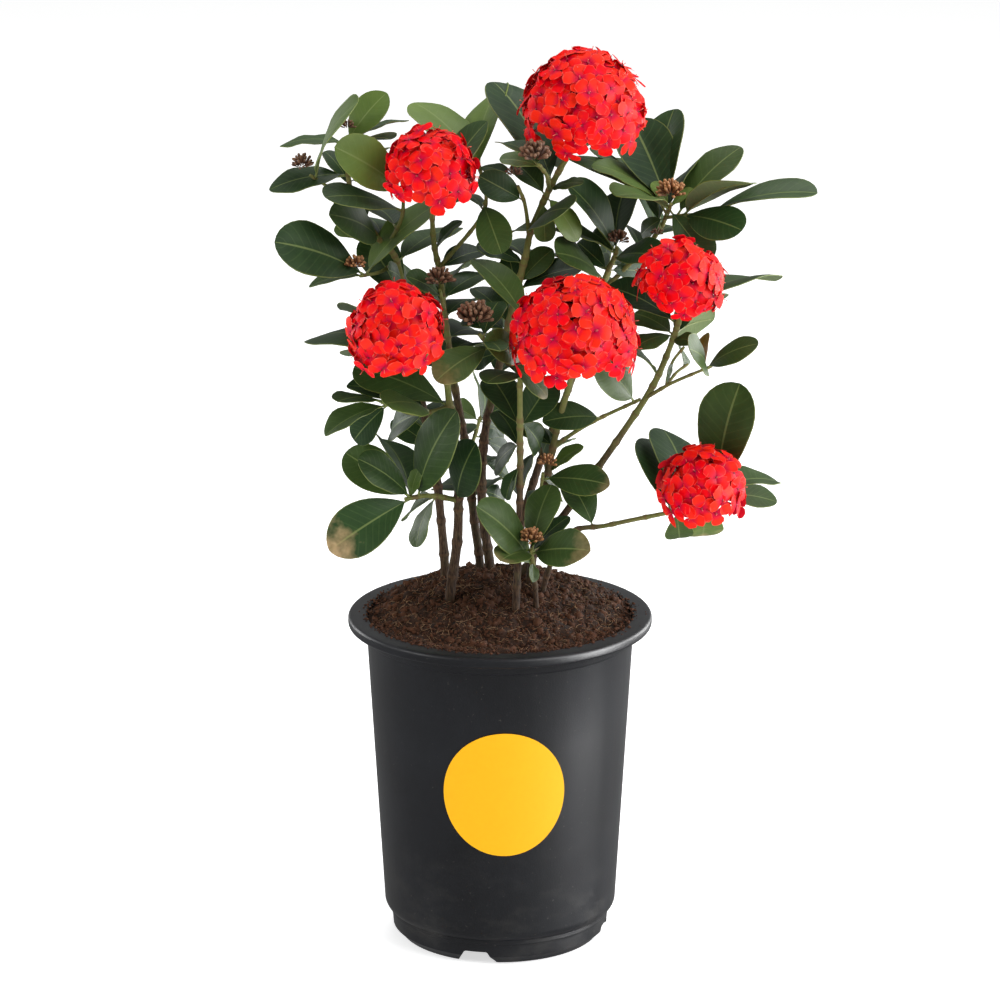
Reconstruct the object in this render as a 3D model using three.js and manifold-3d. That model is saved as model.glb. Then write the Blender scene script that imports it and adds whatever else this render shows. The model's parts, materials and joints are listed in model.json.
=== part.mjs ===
// An ixora in a round nursery pot: woody stems that stand in the potting mix, leaves in pairs along
// them, domed heads of four-petalled florets and clusters of club-shaped buds at their ends.
// Millimetres, +Z up, the front of the pot faces -Y, origin on the ground at the middle of the pot.
import * as THREE from "three";
import { mergeVertices } from "three/addons/utils/BufferGeometryUtils.js";
import Module from "manifold-3d";

const wasm = await Module();
wasm.setup();
const { Manifold } = wasm;

const rad = THREE.MathUtils.degToRad;
const V = (x, y, z) => new THREE.Vector3(x, y, z);
const UP = V(0, 0, 1);
const CLEARANCE = 0.35; // between pieces that touch
const SCRAP = 0.5; // cubic millimetres

// ---- materials ----

const matte = (color, roughness) => new THREE.MeshStandardMaterial({ color, roughness, metalness: 0 });
const potPlastic = matte(0x33353a, 0.5);
const labelPaper = matte(0xf6b619, 0.6);
const pottingMix = matte(0x4a2c20, 1);
const leafAndStem = matte(0x3f5a36, 0.45);
const petalRed = matte(0xf0231f, 0.55);
const budBrown = matte(0x7a4a34, 0.8);

// ---- solids from meshes ----

// A closed geometry as a solid, whichever way round its faces were listed.
function solidOf(geometry) {
  const plain = geometry.index ? geometry.toNonIndexed() : geometry;
  const bare = new THREE.BufferGeometry().setAttribute("position", plain.getAttribute("position"));
  const merged = mergeVertices(bare, 1e-4);
  const corners = [];
  const at = merged.index.array;
  for (let i = 0; i < at.length; i += 3) {
    const [a, b, c] = [at[i], at[i + 1], at[i + 2]];
    if (a !== b && b !== c && a !== c) corners.push(a, b, c);
  }
  const make = (list) =>
    new Manifold(
      new wasm.Mesh({
        numProp: 3,
        vertProperties: merged.attributes.position.array,
        triVerts: new Uint32Array(list),
      }),
    );
  const solid = make(corners);
  return solid.volume() > 0 ? solid : make(corners.reverse());
}

// Rings of equal count joined by faces, with a cap at each end. A ring of equal points is a tip.
function loft(rings) {
  const count = rings[0].length;
  const index = [];
  for (let k = 0; k + 1 < rings.length; k++) {
    for (let i = 0; i < count; i++) {
      const [a, b] = [k * count + i, k * count + ((i + 1) % count)];
      index.push(a, b, b + count, a, b + count, a + count);
    }
  }
  const last = (rings.length - 1) * count;
  for (let i = 1; i + 1 < count; i++) {
    index.push(0, i + 1, i, last, last + i, last + i + 1);
  }
  const geometry = new THREE.BufferGeometry().setFromPoints(rings.flat());
  geometry.setIndex(index);
  return geometry;
}

// A named mesh of a solid, without the empty scraps that joining can leave.
function meshOf(name, joined, material) {
  const solid = Manifold.compose(joined.decompose().filter((body) => body.volume() > SCRAP));
  const { numProp, vertProperties, triVerts } = solid.getMesh();
  const points = [];
  for (let i = 0; i < vertProperties.length; i += numProp) {
    points.push(V(vertProperties[i], vertProperties[i + 1], vertProperties[i + 2]));
  }
  const geometry = new THREE.BufferGeometry().setFromPoints(points);
  geometry.setIndex([...triVerts]);
  geometry.computeVertexNormals();
  const mesh = new THREE.Mesh(geometry, material);
  mesh.name = name;
  return mesh;
}

// ---- the nursery pot ----

const SEGMENTS = 32;
const POT = {
  height: 260,
  rimRadius: 117.5,
  lipHeight: 8,
  topRadius: 104, // of the wall, under the lip
  shoulderRadius: 90.4, // of the wall, where its rounded lower edge starts
  shoulderHeight: 29,
  skirtRadius: 84.5, // of the recessed band at the foot
  skirtHeight: 17,
  footRadius: 79,
  wall: 2,
  channelFloor: 12, // height of the inside floor, over the drainage channel
  floor: 3, // and over the disc in the middle that stands on the ground
  discRadius: 48,
  channelRadius: 69,
};
const wallRadius = (z) =>
  THREE.MathUtils.mapLinear(
    z, POT.shoulderHeight, POT.height, POT.shoulderRadius, POT.topRadius);

function pot() {
  const { height, rimRadius, lipHeight, wall, floor, channelFloor, discRadius } = POT;
  const profile = [
    [0, 0],
    [discRadius, 0],
    [discRadius + 2, channelFloor - 3],
    [POT.channelRadius - 2, channelFloor - 3],
    [POT.channelRadius, 0],
    [POT.footRadius, 0],
    [POT.skirtRadius - 1, 6],
    [POT.skirtRadius, POT.skirtHeight],
    [POT.shoulderRadius - 1.5, POT.skirtHeight + 3.5],
    [POT.shoulderRadius, POT.shoulderHeight],
    [wallRadius(height - lipHeight), height - lipHeight],
    [rimRadius - 0.5, height - lipHeight],
    [rimRadius, height - 3],
    [rimRadius - 3, height],
    [POT.topRadius - wall + 1, height],
    [wallRadius(height - 8) - wall, height - 8],
    [POT.shoulderRadius - wall, POT.shoulderHeight],
    [POT.skirtRadius - wall, channelFloor],
    [discRadius + 1, channelFloor],
    [discRadius - 1, floor],
    [0, floor],
  ];
  const lathe = new THREE.LatheGeometry(
    profile.map(([r, z]) => new THREE.Vector2(r, z)), SEGMENTS);
  lathe.rotateX(Math.PI / 2);
  return solidOf(lathe).subtract(Manifold.union([...notches(), ...drainHoles()]));
}

// Four slots through the foot ring let water run out from under the pot.
const NOTCH = { turn: -13, count: 4, footWidth: 32, topWidth: 20, height: 11 };
const DRAIN = { radius: 6, out: 59 };
const notchTurns = () =>
  Array.from({ length: NOTCH.count }, (_, i) => rad(NOTCH.turn + (i * 360) / NOTCH.count));

function notches() {
  const { footWidth, topWidth, height } = NOTCH;
  return notchTurns().map((turn) => {
    const section = new THREE.Shape([
      new THREE.Vector2(-footWidth / 2, -1),
      new THREE.Vector2(footWidth / 2, -1),
      new THREE.Vector2(topWidth / 2, height),
      new THREE.Vector2(-topWidth / 2, height),
    ]);
    const depth = POT.shoulderRadius - POT.channelRadius + 10;
    const slot = new THREE.ExtrudeGeometry(section, { depth, bevelEnabled: false });
    slot.rotateX(Math.PI / 2);
    slot.translate(0, 5 - POT.channelRadius, 0);
    slot.rotateZ(turn);
    return solidOf(slot);
  });
}

function drainHoles() {
  return notchTurns().map((turn) => {
    const hole = new THREE.CylinderGeometry(DRAIN.radius, DRAIN.radius, POT.channelFloor, 6);
    hole.rotateX(Math.PI / 2);
    hole.translate(0, -DRAIN.out, POT.channelFloor);
    hole.rotateZ(turn);
    return solidOf(hole);
  });
}

// A paper label that looks round from in front, curved with the wall. Its columns run up the wall and end on the circle.
const LABEL = {
  radius: 47.5, tall: 1.06, height: 144.7, across: 3.4, thickness: 0.5, columns: 14, rows: 1,
};

function label() {
  const rings = [];
  for (let i = 0; i <= LABEL.columns; i++) {
    const turn = Math.PI * (i / LABEL.columns - 0.5);
    const x = LABEL.radius * Math.sin(turn);
    const half = LABEL.radius * LABEL.tall * Math.cos(turn) + 0.01;
    const ring = [];
    for (const side of [0, 1]) {
      for (let j = 0; j <= LABEL.rows; j++) {
        const up = ((side ? LABEL.rows - j : j) / LABEL.rows) * 2 - 1;
        const z = LABEL.height + half * up;
        const r = wallRadius(z) + CLEARANCE + side * LABEL.thickness;
        const angle = (x + LABEL.across) / wallRadius(z) - Math.PI / 2;
        ring.push(V(r * Math.cos(angle), r * Math.sin(angle), z));
      }
    }
    rings.push(ring);
  }
  return solidOf(loft(rings));
}

// ---- the potting mix ----

const MIX = { edge: 254, mound: 20, moundBack: 18, rings: [56], lumps: 1.6 };
const insideRadius = (z) => wallRadius(z) - POT.wall - CLEARANCE;

// Height of the mix at a point: a mound round the stems, with lumps.
function mixHeight(x, y) {
  const out = Math.hypot(x, y - MIX.moundBack) / insideRadius(MIX.edge);
  const mound = MIX.mound * Math.max(0, Math.cos(Math.min(out, 1) * Math.PI * 0.5));
  const lumps = Math.sin(x * 0.13 + 1) * Math.cos(y * 0.11) + Math.sin(x * 0.31 + y * 0.27);
  return MIX.edge + mound + MIX.lumps * lumps * 0.5 * Math.min(1, 1.6 - out);
}

function pottingMixSolid() {
  const circle = (r, height) =>
    Array.from({ length: SEGMENTS }, (_, i) => {
      const turn = (i / SEGMENTS) * 2 * Math.PI;
      const [x, y] = [r * Math.sin(turn), r * Math.cos(turn)];
      return V(x, y, height(x, y));
    });
  const bottom = POT.channelFloor + CLEARANCE;
  const rings = [
    circle(0, () => POT.floor + CLEARANCE),
    circle(POT.discRadius - 1.5, () => POT.floor + CLEARANCE),
    circle(POT.discRadius, () => bottom),
    circle(POT.skirtRadius - POT.wall - 1, () => bottom),
    circle(insideRadius(POT.shoulderHeight) - 0.4, () => POT.shoulderHeight),
    circle(insideRadius(MIX.edge - 4), () => MIX.edge - 4),
    ...MIX.rings.toReversed().map((r) => circle(r, mixHeight)),
    circle(0, mixHeight),
  ];
  return solidOf(loft(rings));
}

// ---- the front drawing ----

// The plant is laid out on a drawing seen from in front and a little above, 1000 units square. A
// place is right, down, and how many millimetres it lies behind the pot's middle.
const DRAWING = { middle: 500, mmPerUnit: 0.768, distance: 3600, tilt: rad(16.2), aim: 350 };

const FORWARD = V(0, Math.cos(DRAWING.tilt), -Math.sin(DRAWING.tilt));
const EYE = V(0, 0, DRAWING.aim).addScaledVector(FORWARD, -DRAWING.distance);

function place([x, y, depth]) {
  const { middle, mmPerUnit, distance, tilt } = DRAWING;
  const upward = V(0, Math.sin(tilt), Math.cos(tilt));
  const ray = FORWARD.clone().multiplyScalar(distance / mmPerUnit);
  ray.x += x - middle;
  ray.addScaledVector(upward, middle - y);
  return EYE.clone().addScaledVector(ray, (depth - EYE.y) / ray.y);
}

// ---- the leafy stems ----

// routes: each a main stem or a branch, as [thickness at its foot, at its end, places...].
// leaves: [foot x, foot y, tip x, tip y, length in mm, less than 0 where the tip points away,
// width on the drawing, less than 0 where the under face shows]. A leaf grows from the nearest point
// of its own stem. The first route starts at the surface of the potting mix.
const STEMS = {
  left_stem: {
    routes: [
      [8, 4, [450, 597, -8], [456, 550, -10], [460, 500, -12], [455, 450, -18], [449, 400, -25],
        [446, 374, -34], [436, 358, -48], [418, 351, -60], [407, 345, -68]],
      [4.4, 3, [459, 497, -12], [440, 499, -22], [420, 493, -30], [405, 499, -38]],
      [3.6, 2.6, [449, 405, -24], [430, 416, -30], [402, 410, -32], [381, 402, -32]],
    ],
    leaves: [
      [404, 501, 333, 547, 74, 54], [403, 496, 361, 457, 52, 32], [407, 494, 349, 451, -66, 46],
      [414, 494, 455, 409, 76, 42], [409, 499, 417, 463, 32, 14], [456, 498, 478, 438, 56, 38],
      [433, 499, 416, 542, 38, 14], [434, 498, 402, 522, -38, 13], [410, 499, 382, 440, -64, 34],
      [430, 417, 384, 434, -60, 34], [383, 402, 327, 433, 52, 22], [382, 400, 333, 399, 46, 7],
      [428, 417, 379, 402, 50, 20], [390, 407, 350, 449, -56, 32], [446, 404, 350, 369, 80, 44],
      [430, 414, 352, 384, -66, 30], [421, 351, 312, 331, -88, 36], [440, 360, 348, 350, -84, 22],
      [440, 360, 341, 311, -96, 13],
    ],
  },
  left_back_stem: {
    routes: [
      [7, 3, [445, 570, 40], [441, 520, 42], [437, 480, 44], [428, 430, 48], [412, 350, 48],
        [402, 280, 42], [392, 252, 36], [372, 232, 30], [352, 200, 22], [347, 165, 16],
        [346, 137, 10]],
      [3.2, 2.4, [353, 200, 22], [330, 188, 14], [310, 175, 6]],
      [3.4, 2.4, [398, 264, 38], [380, 272, 24], [360, 276, 8]],
      [3.2, 2.4, [388, 247, 34], [398, 226, 26], [404, 208, 18], [403, 184, 12]],
      [3.2, 2.6, [412, 350, 48], [408, 318, 90], [404, 300, 124]],
    ],
    leaves: [
      [346, 141, 283, 140, 50, 14], [314, 178, 358, 98, 66, 16], [350, 138, 383, 99, -48, 32],
      [346, 142, 401, 121, -52, 8], [347, 150, 393, 134, -46, 7], [340, 179, 270, 191, 57, 28],
      [350, 180, 384, 168, 40, 20], [346, 188, 328, 154, -38, 18], [403, 186, 331, 145, 70, 50],
      [404, 210, 325, 194, 66, 22], [404, 190, 338, 173, -66, 22], [384, 238, 326, 209, 54, 34],
      [374, 233, 334, 226, 38, 18], [364, 270, 441, 203, -86, 30], [362, 274, 280, 241, 72, 50],
      [360, 277, 309, 283, 46, 13], [402, 300, 366, 231, 64, 42], [392, 254, 411, 218, -46, 24],
      [397, 262, 458, 226, -61, 28], [408, 284, 386, 265, 28, 15], [432, 450, 398, 425, -58, 24],
      [430, 440, 458, 428, -58, 22], [415, 375, 385, 348, -60, 24], [414, 365, 434, 336, -50, 20],
      [396, 230, 368, 206, -44, 26], [405, 310, 432, 298, -56, 22], [384, 244, 362, 212, -56, 22],
      [348, 170, 377, 150, -50, 22], [404, 300, 438, 282, -54, 22], [404, 302, 404, 266, -62, 24],
      [408, 322, 440, 332, -48, 22], [408, 322, 374, 336, -48, 20], [368, 222, 352, 190, -44, 22],
      [430, 432, 400, 408, -60, 26], [437, 482, 410, 464, -58, 24], [428, 428, 446, 402, -56, 22],
    ],
  },
  left_inner_stem: {
    routes: [
      [7, 3.4, [480, 566, 64], [474, 520, 62], [468, 460, 58], [457, 400, 52], [449, 350, 46],
        [443, 300, 44], [438, 262, 45], [433, 238, 38], [432, 214, 8], [431, 202, -12]],
      [3.4, 2.6, [440, 270, 36], [460, 240, 32], [484, 210, 28], [481, 180, 30], [478, 160, 32]],
      [3.4, 2.6, [444, 310, 40], [442, 300, 12], [440, 290, -8]],
      [3.2, 2.6, [468, 460, 58], [476, 432, 96], [480, 418, 124]],
    ],
    leaves: [
      [478, 161, 420, 104, -66, 40], [432, 222, 484, 113, 94, 36], [478, 161, 498, 84, -71, 40],
      [479, 163, 506, 173, 36, 14], [485, 203, 500, 250, 54, 38], [484, 208, 458, 190, -42, 14],
      [432, 210, 466, 196, -40, 16], [438, 266, 487, 250, -46, 24], [441, 300, 482, 274, -50, 24],
      [441, 298, 406, 272, 44, 18], [443, 304, 416, 288, 34, 14], [470, 470, 494, 455, -58, 24],
      [454, 385, 476, 360, -60, 22], [450, 352, 424, 320, -60, 24], [443, 295, 466, 262, -58, 22],
      [443, 305, 424, 292, -54, 20], [480, 418, 455, 405, -46, 24], [480, 418, 516, 404, -52, 24],
      [480, 420, 480, 386, -58, 24], [476, 436, 508, 448, -46, 20], [436, 250, 458, 224, -30, 12],
      [445, 316, 478, 297, -54, 22], [447, 336, 428, 362, -40, 20], [449, 338, 486, 330, -60, 26],
      [449, 350, 486, 344, -58, 26], [472, 494, 440, 484, -52, 22], [472, 498, 500, 478, -52, 22],
      [466, 440, 440, 424, -54, 24], [480, 418, 506, 430, -50, 20],
    ],
  },
  centre_back_stem: {
    routes: [
      [7.6, 4, [490, 568, 54], [482, 505, 52], [484, 440, 48], [496, 380, 42], [512, 310, 36],
        [525, 258, 30], [531, 231, 26], [546, 196, 18], [562, 166, 8], [578, 142, 0]],
      [3.2, 2.4, [529, 236, 26], [525, 205, 12], [518, 186, 0]],
      [3.6, 2.8, [550, 188, 15], [547, 176, -8], [539, 165, -36]],
      [3.2, 2.6, [496, 380, 42], [502, 348, 84], [506, 330, 118]],
    ],
    leaves: [
      [556, 186, 502, 88, -92, 50], [544, 164, 500, 155, 38, 16], [542, 166, 507, 141, -48, 20],
      [524, 202, 479, 171, 50, 32], [546, 196, 517, 164, -42, 28], [552, 190, 586, 178, 34, 11],
      [546, 197, 579, 248, -58, 24], [529, 234, 575, 202, 56, 13], [558, 172, 592, 143, -62, 14],
      [514, 300, 507, 262, -46, 20], [518, 288, 512, 254, -46, 26], [518, 286, 546, 252, -48, 26],
      [516, 292, 577, 264, -60, 24], [523, 262, 482, 246, -52, 20], [488, 465, 512, 482, -55, 20],
      [497, 375, 530, 352, -58, 22], [507, 330, 542, 302, -58, 24], [508, 322, 478, 292, -58, 24],
      [524, 262, 556, 250, -52, 20], [506, 330, 470, 316, -54, 24], [506, 330, 543, 314, -54, 22],
      [506, 332, 507, 294, -62, 26], [502, 352, 536, 362, -46, 20], [502, 352, 468, 364, -46, 22],
      [531, 232, 512, 232, -32, 12], [545, 200, 548, 245, -46, 24], [485, 490, 508, 500, -40, 20],
      [487, 440, 510, 460, -54, 22], [506, 332, 486, 346, -56, 26], [506, 332, 530, 348, -56, 24],
      [525, 258, 500, 246, -50, 24], [520, 280, 550, 262, -60, 28],
    ],
  },
  front_stem: {
    routes: [
      [5.8, 3.6, [516, 606, -32], [518, 560, -34], [520, 500, -36], [520, 440, -40],
        [520, 392, -44], [521, 366, -44], [525, 338, -34], [528, 318, -26]],
      [3.6, 3, [520, 374, -47], [503, 358, -58], [487, 344, -64], [479, 334, -66]],
    ],
    leaves: [
      [529, 316, 470, 257, 66, 33], [487, 346, 436, 375, 58, 33], [521, 364, 479, 341, 46, 30],
      [520, 374, 488, 379, 42, 18], [506, 360, 541, 393, 42, 22], [520, 430, 497, 382, -50, 36],
      [520, 426, 548, 382, -50, 36], [520, 498, 533, 457, -42, 16], [520, 446, 489, 474, -42, 16],
      [520, 462, 508, 505, -40, 14], [520, 450, 500, 414, -46, 26], [480, 336, 500, 302, -50, 26],
      [484, 341, 505, 352, 26, 14], [520, 424, 546, 455, -44, 24],
    ],
  },
  centre_stem: {
    routes: [
      [6.4, 4, [529, 596, 14], [534, 550, 10], [543, 500, 4], [553, 445, 0], [562, 410, -8],
        [569, 386, -22], [573, 370, -42], [575, 360, -56]],
      [3, 2.4, [542, 505, 4], [541, 490, -6], [543, 473, -14]],
      [3.4, 2.6, [554, 443, 0], [577, 430, 2], [603, 417, 3], [634, 402, 4]],
    ],
    leaves: [
      [543, 474, 605, 486, 54, 32], [546, 472, 576, 448, -40, 14], [603, 415, 539, 419, 54, 31],
      [638, 400, 588, 352, 64, 40], [556, 430, 540, 472, -50, 22], [543, 478, 560, 496, -40, 18],
      [541, 492, 528, 516, -32, 14], [554, 446, 520, 428, -44, 20],
    ],
  },
  right_stem: {
    routes: [
      [6.6, 4, [519, 583, 34], [545, 541, 16], [566, 512, 10], [603, 461, 0], [641, 405, -8],
        [659, 374, -12], [674, 336, -22], [680, 316, -32], [683, 302, -38]],
      [3, 2.2, [646, 397, -9], [663, 385, -17], [682, 381, -23], [700, 369, -25]],
      [2.6, 2, [664, 384, -17], [676, 373, -8], [688, 364, -2]],
      [2.6, 2, [663, 384, -17], [672, 363, -26], [684, 347, -32]],
    ],
    leaves: [
      [678, 322, 607, 281, 68, 32], [677, 333, 634, 310, 50, 26], [681, 338, 690, 308, -38, 20],
      [682, 339, 717, 317, -48, -26], [683, 303, 771, 277, -88, 27], [688, 338, 630, 345, 58, 16],
      [675, 340, 698, 338, 26, 14], [657, 378, 631, 350, 36, 5], [664, 382, 668, 361, 20, 8],
      [714, 368, 686, 342, 46, 23], [704, 368, 758, 341, 50, 23], [708, 366, 706, 337, -30, 11],
      [690, 364, 681, 349, -30, 10], [680, 312, 724, 297, -48, 10],
    ],
  },
  right_back_stem: {
    routes: [
      [7, 3.2, [514, 558, 70], [528, 500, 68], [548, 440, 64], [572, 380, 60], [592, 320, 54],
        [603, 282, 48], [614, 258, 42], [617, 248, 36]],
      [4, 3, [600, 292, 50], [628, 262, 56], [655, 236, 50], [668, 212, 36], [671, 204, 28]],
      [2.6, 2, [640, 251, 54], [650, 246, 44], [656, 240, 36]],
      [3, 2.4, [666, 216, 38], [688, 215, 34], [716, 212, 28]],
      [3.2, 2.6, [592, 320, 54], [602, 290, 96], [610, 272, 130]],
      [2.6, 2.2, [655, 236, 50], [658, 190, 84], [660, 150, 94]],
    ],
    leaves: [
      [616, 252, 553, 225, 56, 14], [617, 250, 570, 183, 66, 30], [619, 249, 628, 192, -50, 36],
      [616, 249, 595, 222, 30, 20], [669, 206, 582, 156, -90, 27], [666, 208, 602, 164, -74, 20],
      [669, 207, 607, 193, 58, 12], [667, 210, 634, 131, -80, 58], [661, 225, 667, 117, -92, 44],
      [678, 210, 736, 150, -64, 30], [684, 214, 752, 176, 62, -18], [716, 212, 817, 193, 84, 17],
      [680, 208, 737, 231, 54, 40], [672, 208, 708, 256, 52, 38], [664, 216, 641, 240, -40, 18],
      [613, 258, 663, 256, 56, 26], [608, 270, 577, 246, -46, 28], [603, 281, 551, 250, 58, 18],
      [670, 204, 651, 177, 26, 14], [672, 204, 692, 187, 18, 9], [670, 204, 694, 163, -52, 16],
      [575, 370, 604, 345, -58, 20], [580, 350, 550, 322, -58, 24], [600, 292, 640, 300, -58, 24],
      [664, 212, 600, 150, -84, 28], [655, 236, 690, 226, -58, 20], [540, 462, 566, 440, -50, 16],
      [610, 272, 574, 262, -52, 20], [610, 272, 648, 268, -54, 26], [610, 274, 612, 236, -62, 24],
      [602, 294, 640, 304, -48, 20], [655, 236, 640, 198, -44, 24], [640, 251, 628, 226, -36, 14],
      [612, 264, 644, 280, -60, 28],
    ],
  },
  low_right_stem: {
    routes: [
      [4.4, 3.2, [543, 590, -2], [552, 552, -14], [572, 532, -20], [592, 528, -24],
        [625, 522, -30], [657, 515, -36], [682, 510, -42], [695, 508, -48]],
      [3, 2.4, [688, 509, -45], [706, 500, -28], [722, 484, -16]],
    ],
    leaves: [
      [731, 484, 738, 380, 80, 54], [690, 512, 668, 440, -76, 50], [670, 521, 655, 446, -76, 50],
      [721, 486, 783, 480, -50, 20], [714, 496, 773, 498, 54, 22], [706, 501, 702, 544, -56, 60],
      [678, 512, 680, 543, -40, 34], [592, 527, 568, 482, -50, 32],
    ],
  },
  front_shoot: {
    routes: [[4.2, 3, [536, 602, -26], [534, 578, -33], [532, 558, -41], [531, 549, -46]]],
    leaves: [
      [533, 568, 480, 505, 66, 36], [531, 548, 495, 558, 38, 20], [531, 549, 511, 529, 32, 14],
      [532, 549, 550, 488, -54, 30], [533, 549, 589, 548, 56, 37], [532, 552, 567, 514, -42, 16],
      [533, 562, 533, 579, 18, 11],
    ],
  },
};

// Heads of florets: [x, y, depth, radius, lean to the right, lean to the front in degrees].
const BLOOMS = {
  bloom_top: [584, 112, 0, 48.5, 0, 12],
  bloom_upper_left: [430, 174, -28, 36, -4, 14],
  bloom_left: [398, 332, -78, 38, -14, 22],
  bloom_centre: [575, 338, -74, 49.5, 0, 14],
  bloom_right: [681, 284, -44, 34, 6, 16],
  bloom_low_right: [701, 490, -58, 34, 6, 20],
};

// Clusters of buds: [x, y, depth, radius, buds].
const BUDS = {
  buds_far_left: [302, 163, 2, 9.5, 9],
  buds_upper_left: [347, 125, 7, 6.5, 7],
  buds_left: [355, 263, 0, 9, 9],
  buds_inner_left: [439, 278, -16, 11.5, 11],
  buds_middle: [475, 315, -70, 15, 15],
  buds_under_top: [535, 153, -46, 13, 13],
  buds_back: [514, 172, -6, 7, 7],
  buds_right: [671, 190, 18, 12, 12],
  buds_inner_right: [618, 238, 29, 9.5, 9],
  buds_small_right: [657, 232, 29, 5.5, 6],
  buds_low: [547, 461, -20, 8, 8],
  buds_front: [531, 537, -53, 10, 11],
};

// ---- stems ----

const BURIED = 45; // how deep a stem stands in the mix
const STEM_SIDES = 4;
const STEM_STEP = 42; // between rings along a stem
const SOUND_STEP = 6; // between the points that leaves keep clear of

const curveOf = (places) =>
  new THREE.CatmullRomCurve3(places.map((p) => V(...p)), false, "catmullrom", 0.5);
const lengthOf = (places) =>
  places.slice(1).reduce((sum, p, i) => sum + place(p).distanceTo(place(places[i])), 0);

// Evenly counted points of a route, each with its place on the drawing and in space.
function walk(places) {
  const curve = curveOf(places);
  const count = Math.max(2, Math.round(lengthOf(places) / STEM_STEP));
  return Array.from({ length: count + 1 }, (_, i) => {
    const drawn = curve.getPoint(i / count);
    return { drawn, point: place(drawn.toArray()), share: i / count };
  });
}

// Points close together along the straight stretches of a route.
function soundingsOf(steps) {
  return steps.slice(1).flatMap((end, i) => {
    const start = steps[i];
    const count = Math.ceil(start.point.distanceTo(end.point) / SOUND_STEP);
    return Array.from({ length: count + 1 }, (_, k) => ({
      drawn: start.drawn.clone().lerp(end.drawn, k / count),
      point: start.point.clone().lerp(end.point, k / count),
    }));
  });
}

const nearestOf = (soundings, [x, y]) => {
  const far = ({ drawn }) => (drawn.x - x) ** 2 + (drawn.y - y) ** 2;
  return soundings.reduce((best, s) => (far(s) < far(best) ? s : best));
};

// The stem and its branches, each branch starting on the wood that comes before it.
function growWood(routes) {
  const soundings = [];
  const paths = routes.map(([footWidth, endWidth, first, ...rest], i) => {
    const foot = i === 0 ? first : nearestOf(soundings, first).drawn.toArray();
    const steps = walk([foot, ...rest]);
    soundings.push(...soundingsOf(steps).slice(0, -1));
    return { footWidth, endWidth, steps, buried: i === 0 };
  });
  return { paths, soundings };
}

function ringRound(point, along, radius, sides) {
  const side = V(0, 1, 0).cross(along).normalize();
  const front = along.clone().cross(side).normalize();
  return Array.from({ length: sides }, (_, i) => {
    const turn = (i / sides) * 2 * Math.PI;
    const out = side.clone().multiplyScalar(Math.cos(turn) * radius);
    return point.clone().add(out).addScaledVector(front, Math.sin(turn) * radius);
  });
}

// A tapering stem through its points, fatter by extra all round.
function stemSolid({ footWidth, endWidth, steps, buried }, extra = 0) {
  const points = steps.map((s) => s.point);
  const shares = steps.map((s) => s.share);
  if (buried) {
    points.unshift(points[0].clone().add(V(0, 0, -BURIED - extra)));
    shares.unshift(0);
  }
  const rings = points.map((point, i) => {
    const before = points[Math.max(i - 1, 0)];
    const after = points[Math.min(i + 1, points.length - 1)];
    const radius = THREE.MathUtils.lerp(footWidth, endWidth, shares[i]) / 2 + extra;
    return ringRound(point, after.clone().sub(before).normalize(), radius, STEM_SIDES);
  });
  return solidOf(loft(rings));
}

// ---- leaves ----

const LEAF = { width: 0.57, arch: 0.07, thickness: 2.2, sunk: 1.2 };
const LEAF_STATIONS = [[0.24, 0.5], [0.55, 1], [0.83, 0.76]];
const SHORT_LEAF = 73;
const SHORT_LEAF_STATIONS = [[0.38, 0.85], [0.76, 0.85]];

function leafFrom([footX, footY, tipX, tipY, reach, width], soundings) {
  const foot = nearestOf(soundings, [footX, footY]);
  const flat = place([tipX, tipY, foot.drawn.z]).sub(foot.point);
  const length = Math.max(Math.abs(reach), flat.length() * 1.02);
  const away = -Math.sign(reach) * Math.sqrt(length ** 2 - flat.length() ** 2);
  const tip = place([tipX, tipY, foot.drawn.z + away]);
  const direction = tip.sub(foot.point).normalize();
  return { foot: foot.point, direction, length, broad: (width * DRAWING.mmPerUnit) / LEAF.width };
}

// The blade's own directions: out of its upper face, which turns to the front as far as its width on
// the drawing asks, and across it.
function leafAxes({ direction, length, broad }) {
  const turn = Math.asin(THREE.MathUtils.clamp(broad / length, -1, 1));
  const toward = direction.clone().multiplyScalar(direction.dot(FORWARD)).sub(FORWARD).normalize();
  const aside = direction.clone().cross(toward);
  if (aside.z < 0) aside.negate();
  const normal = aside.multiplyScalar(Math.cos(turn)).addScaledVector(toward, Math.sin(turn));
  return { normal, across: direction.clone().cross(normal).normalize() };
}

// A point of the blade: share of the length, share of the half width, and height off the midrib.
function onLeaf(leaf, axes, share, aside, halfWidth, lift) {
  const arch = LEAF.arch * leaf.length * 4 * share * (1 - share);
  return leaf.foot
    .clone()
    .addScaledVector(leaf.direction, leaf.length * share)
    .addScaledVector(axes.across, aside * halfWidth)
    .addScaledVector(axes.normal, arch + lift);
}

function leafSolid(leaf) {
  const axes = leafAxes(leaf);
  const half = (LEAF.width * leaf.length) / 2;
  const stations = leaf.length < SHORT_LEAF ? SHORT_LEAF_STATIONS : LEAF_STATIONS;
  const rings = stations.map(([share, width]) => {
    const up = LEAF.thickness * (1 - 0.4 * share);
    const at = (aside, lift) => onLeaf(leaf, axes, share, aside, half * width, lift);
    return [at(-1, 0), at(1, 0), at(0, -up)];
  });
  const root = onLeaf(leaf, axes, -LEAF.sunk / leaf.length, 0, 0, 0);
  const tip = onLeaf(leaf, axes, 1, 0, 0, 0);
  return solidOf(loft([Array(3).fill(root), ...rings, Array(3).fill(tip)]));
}

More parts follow.
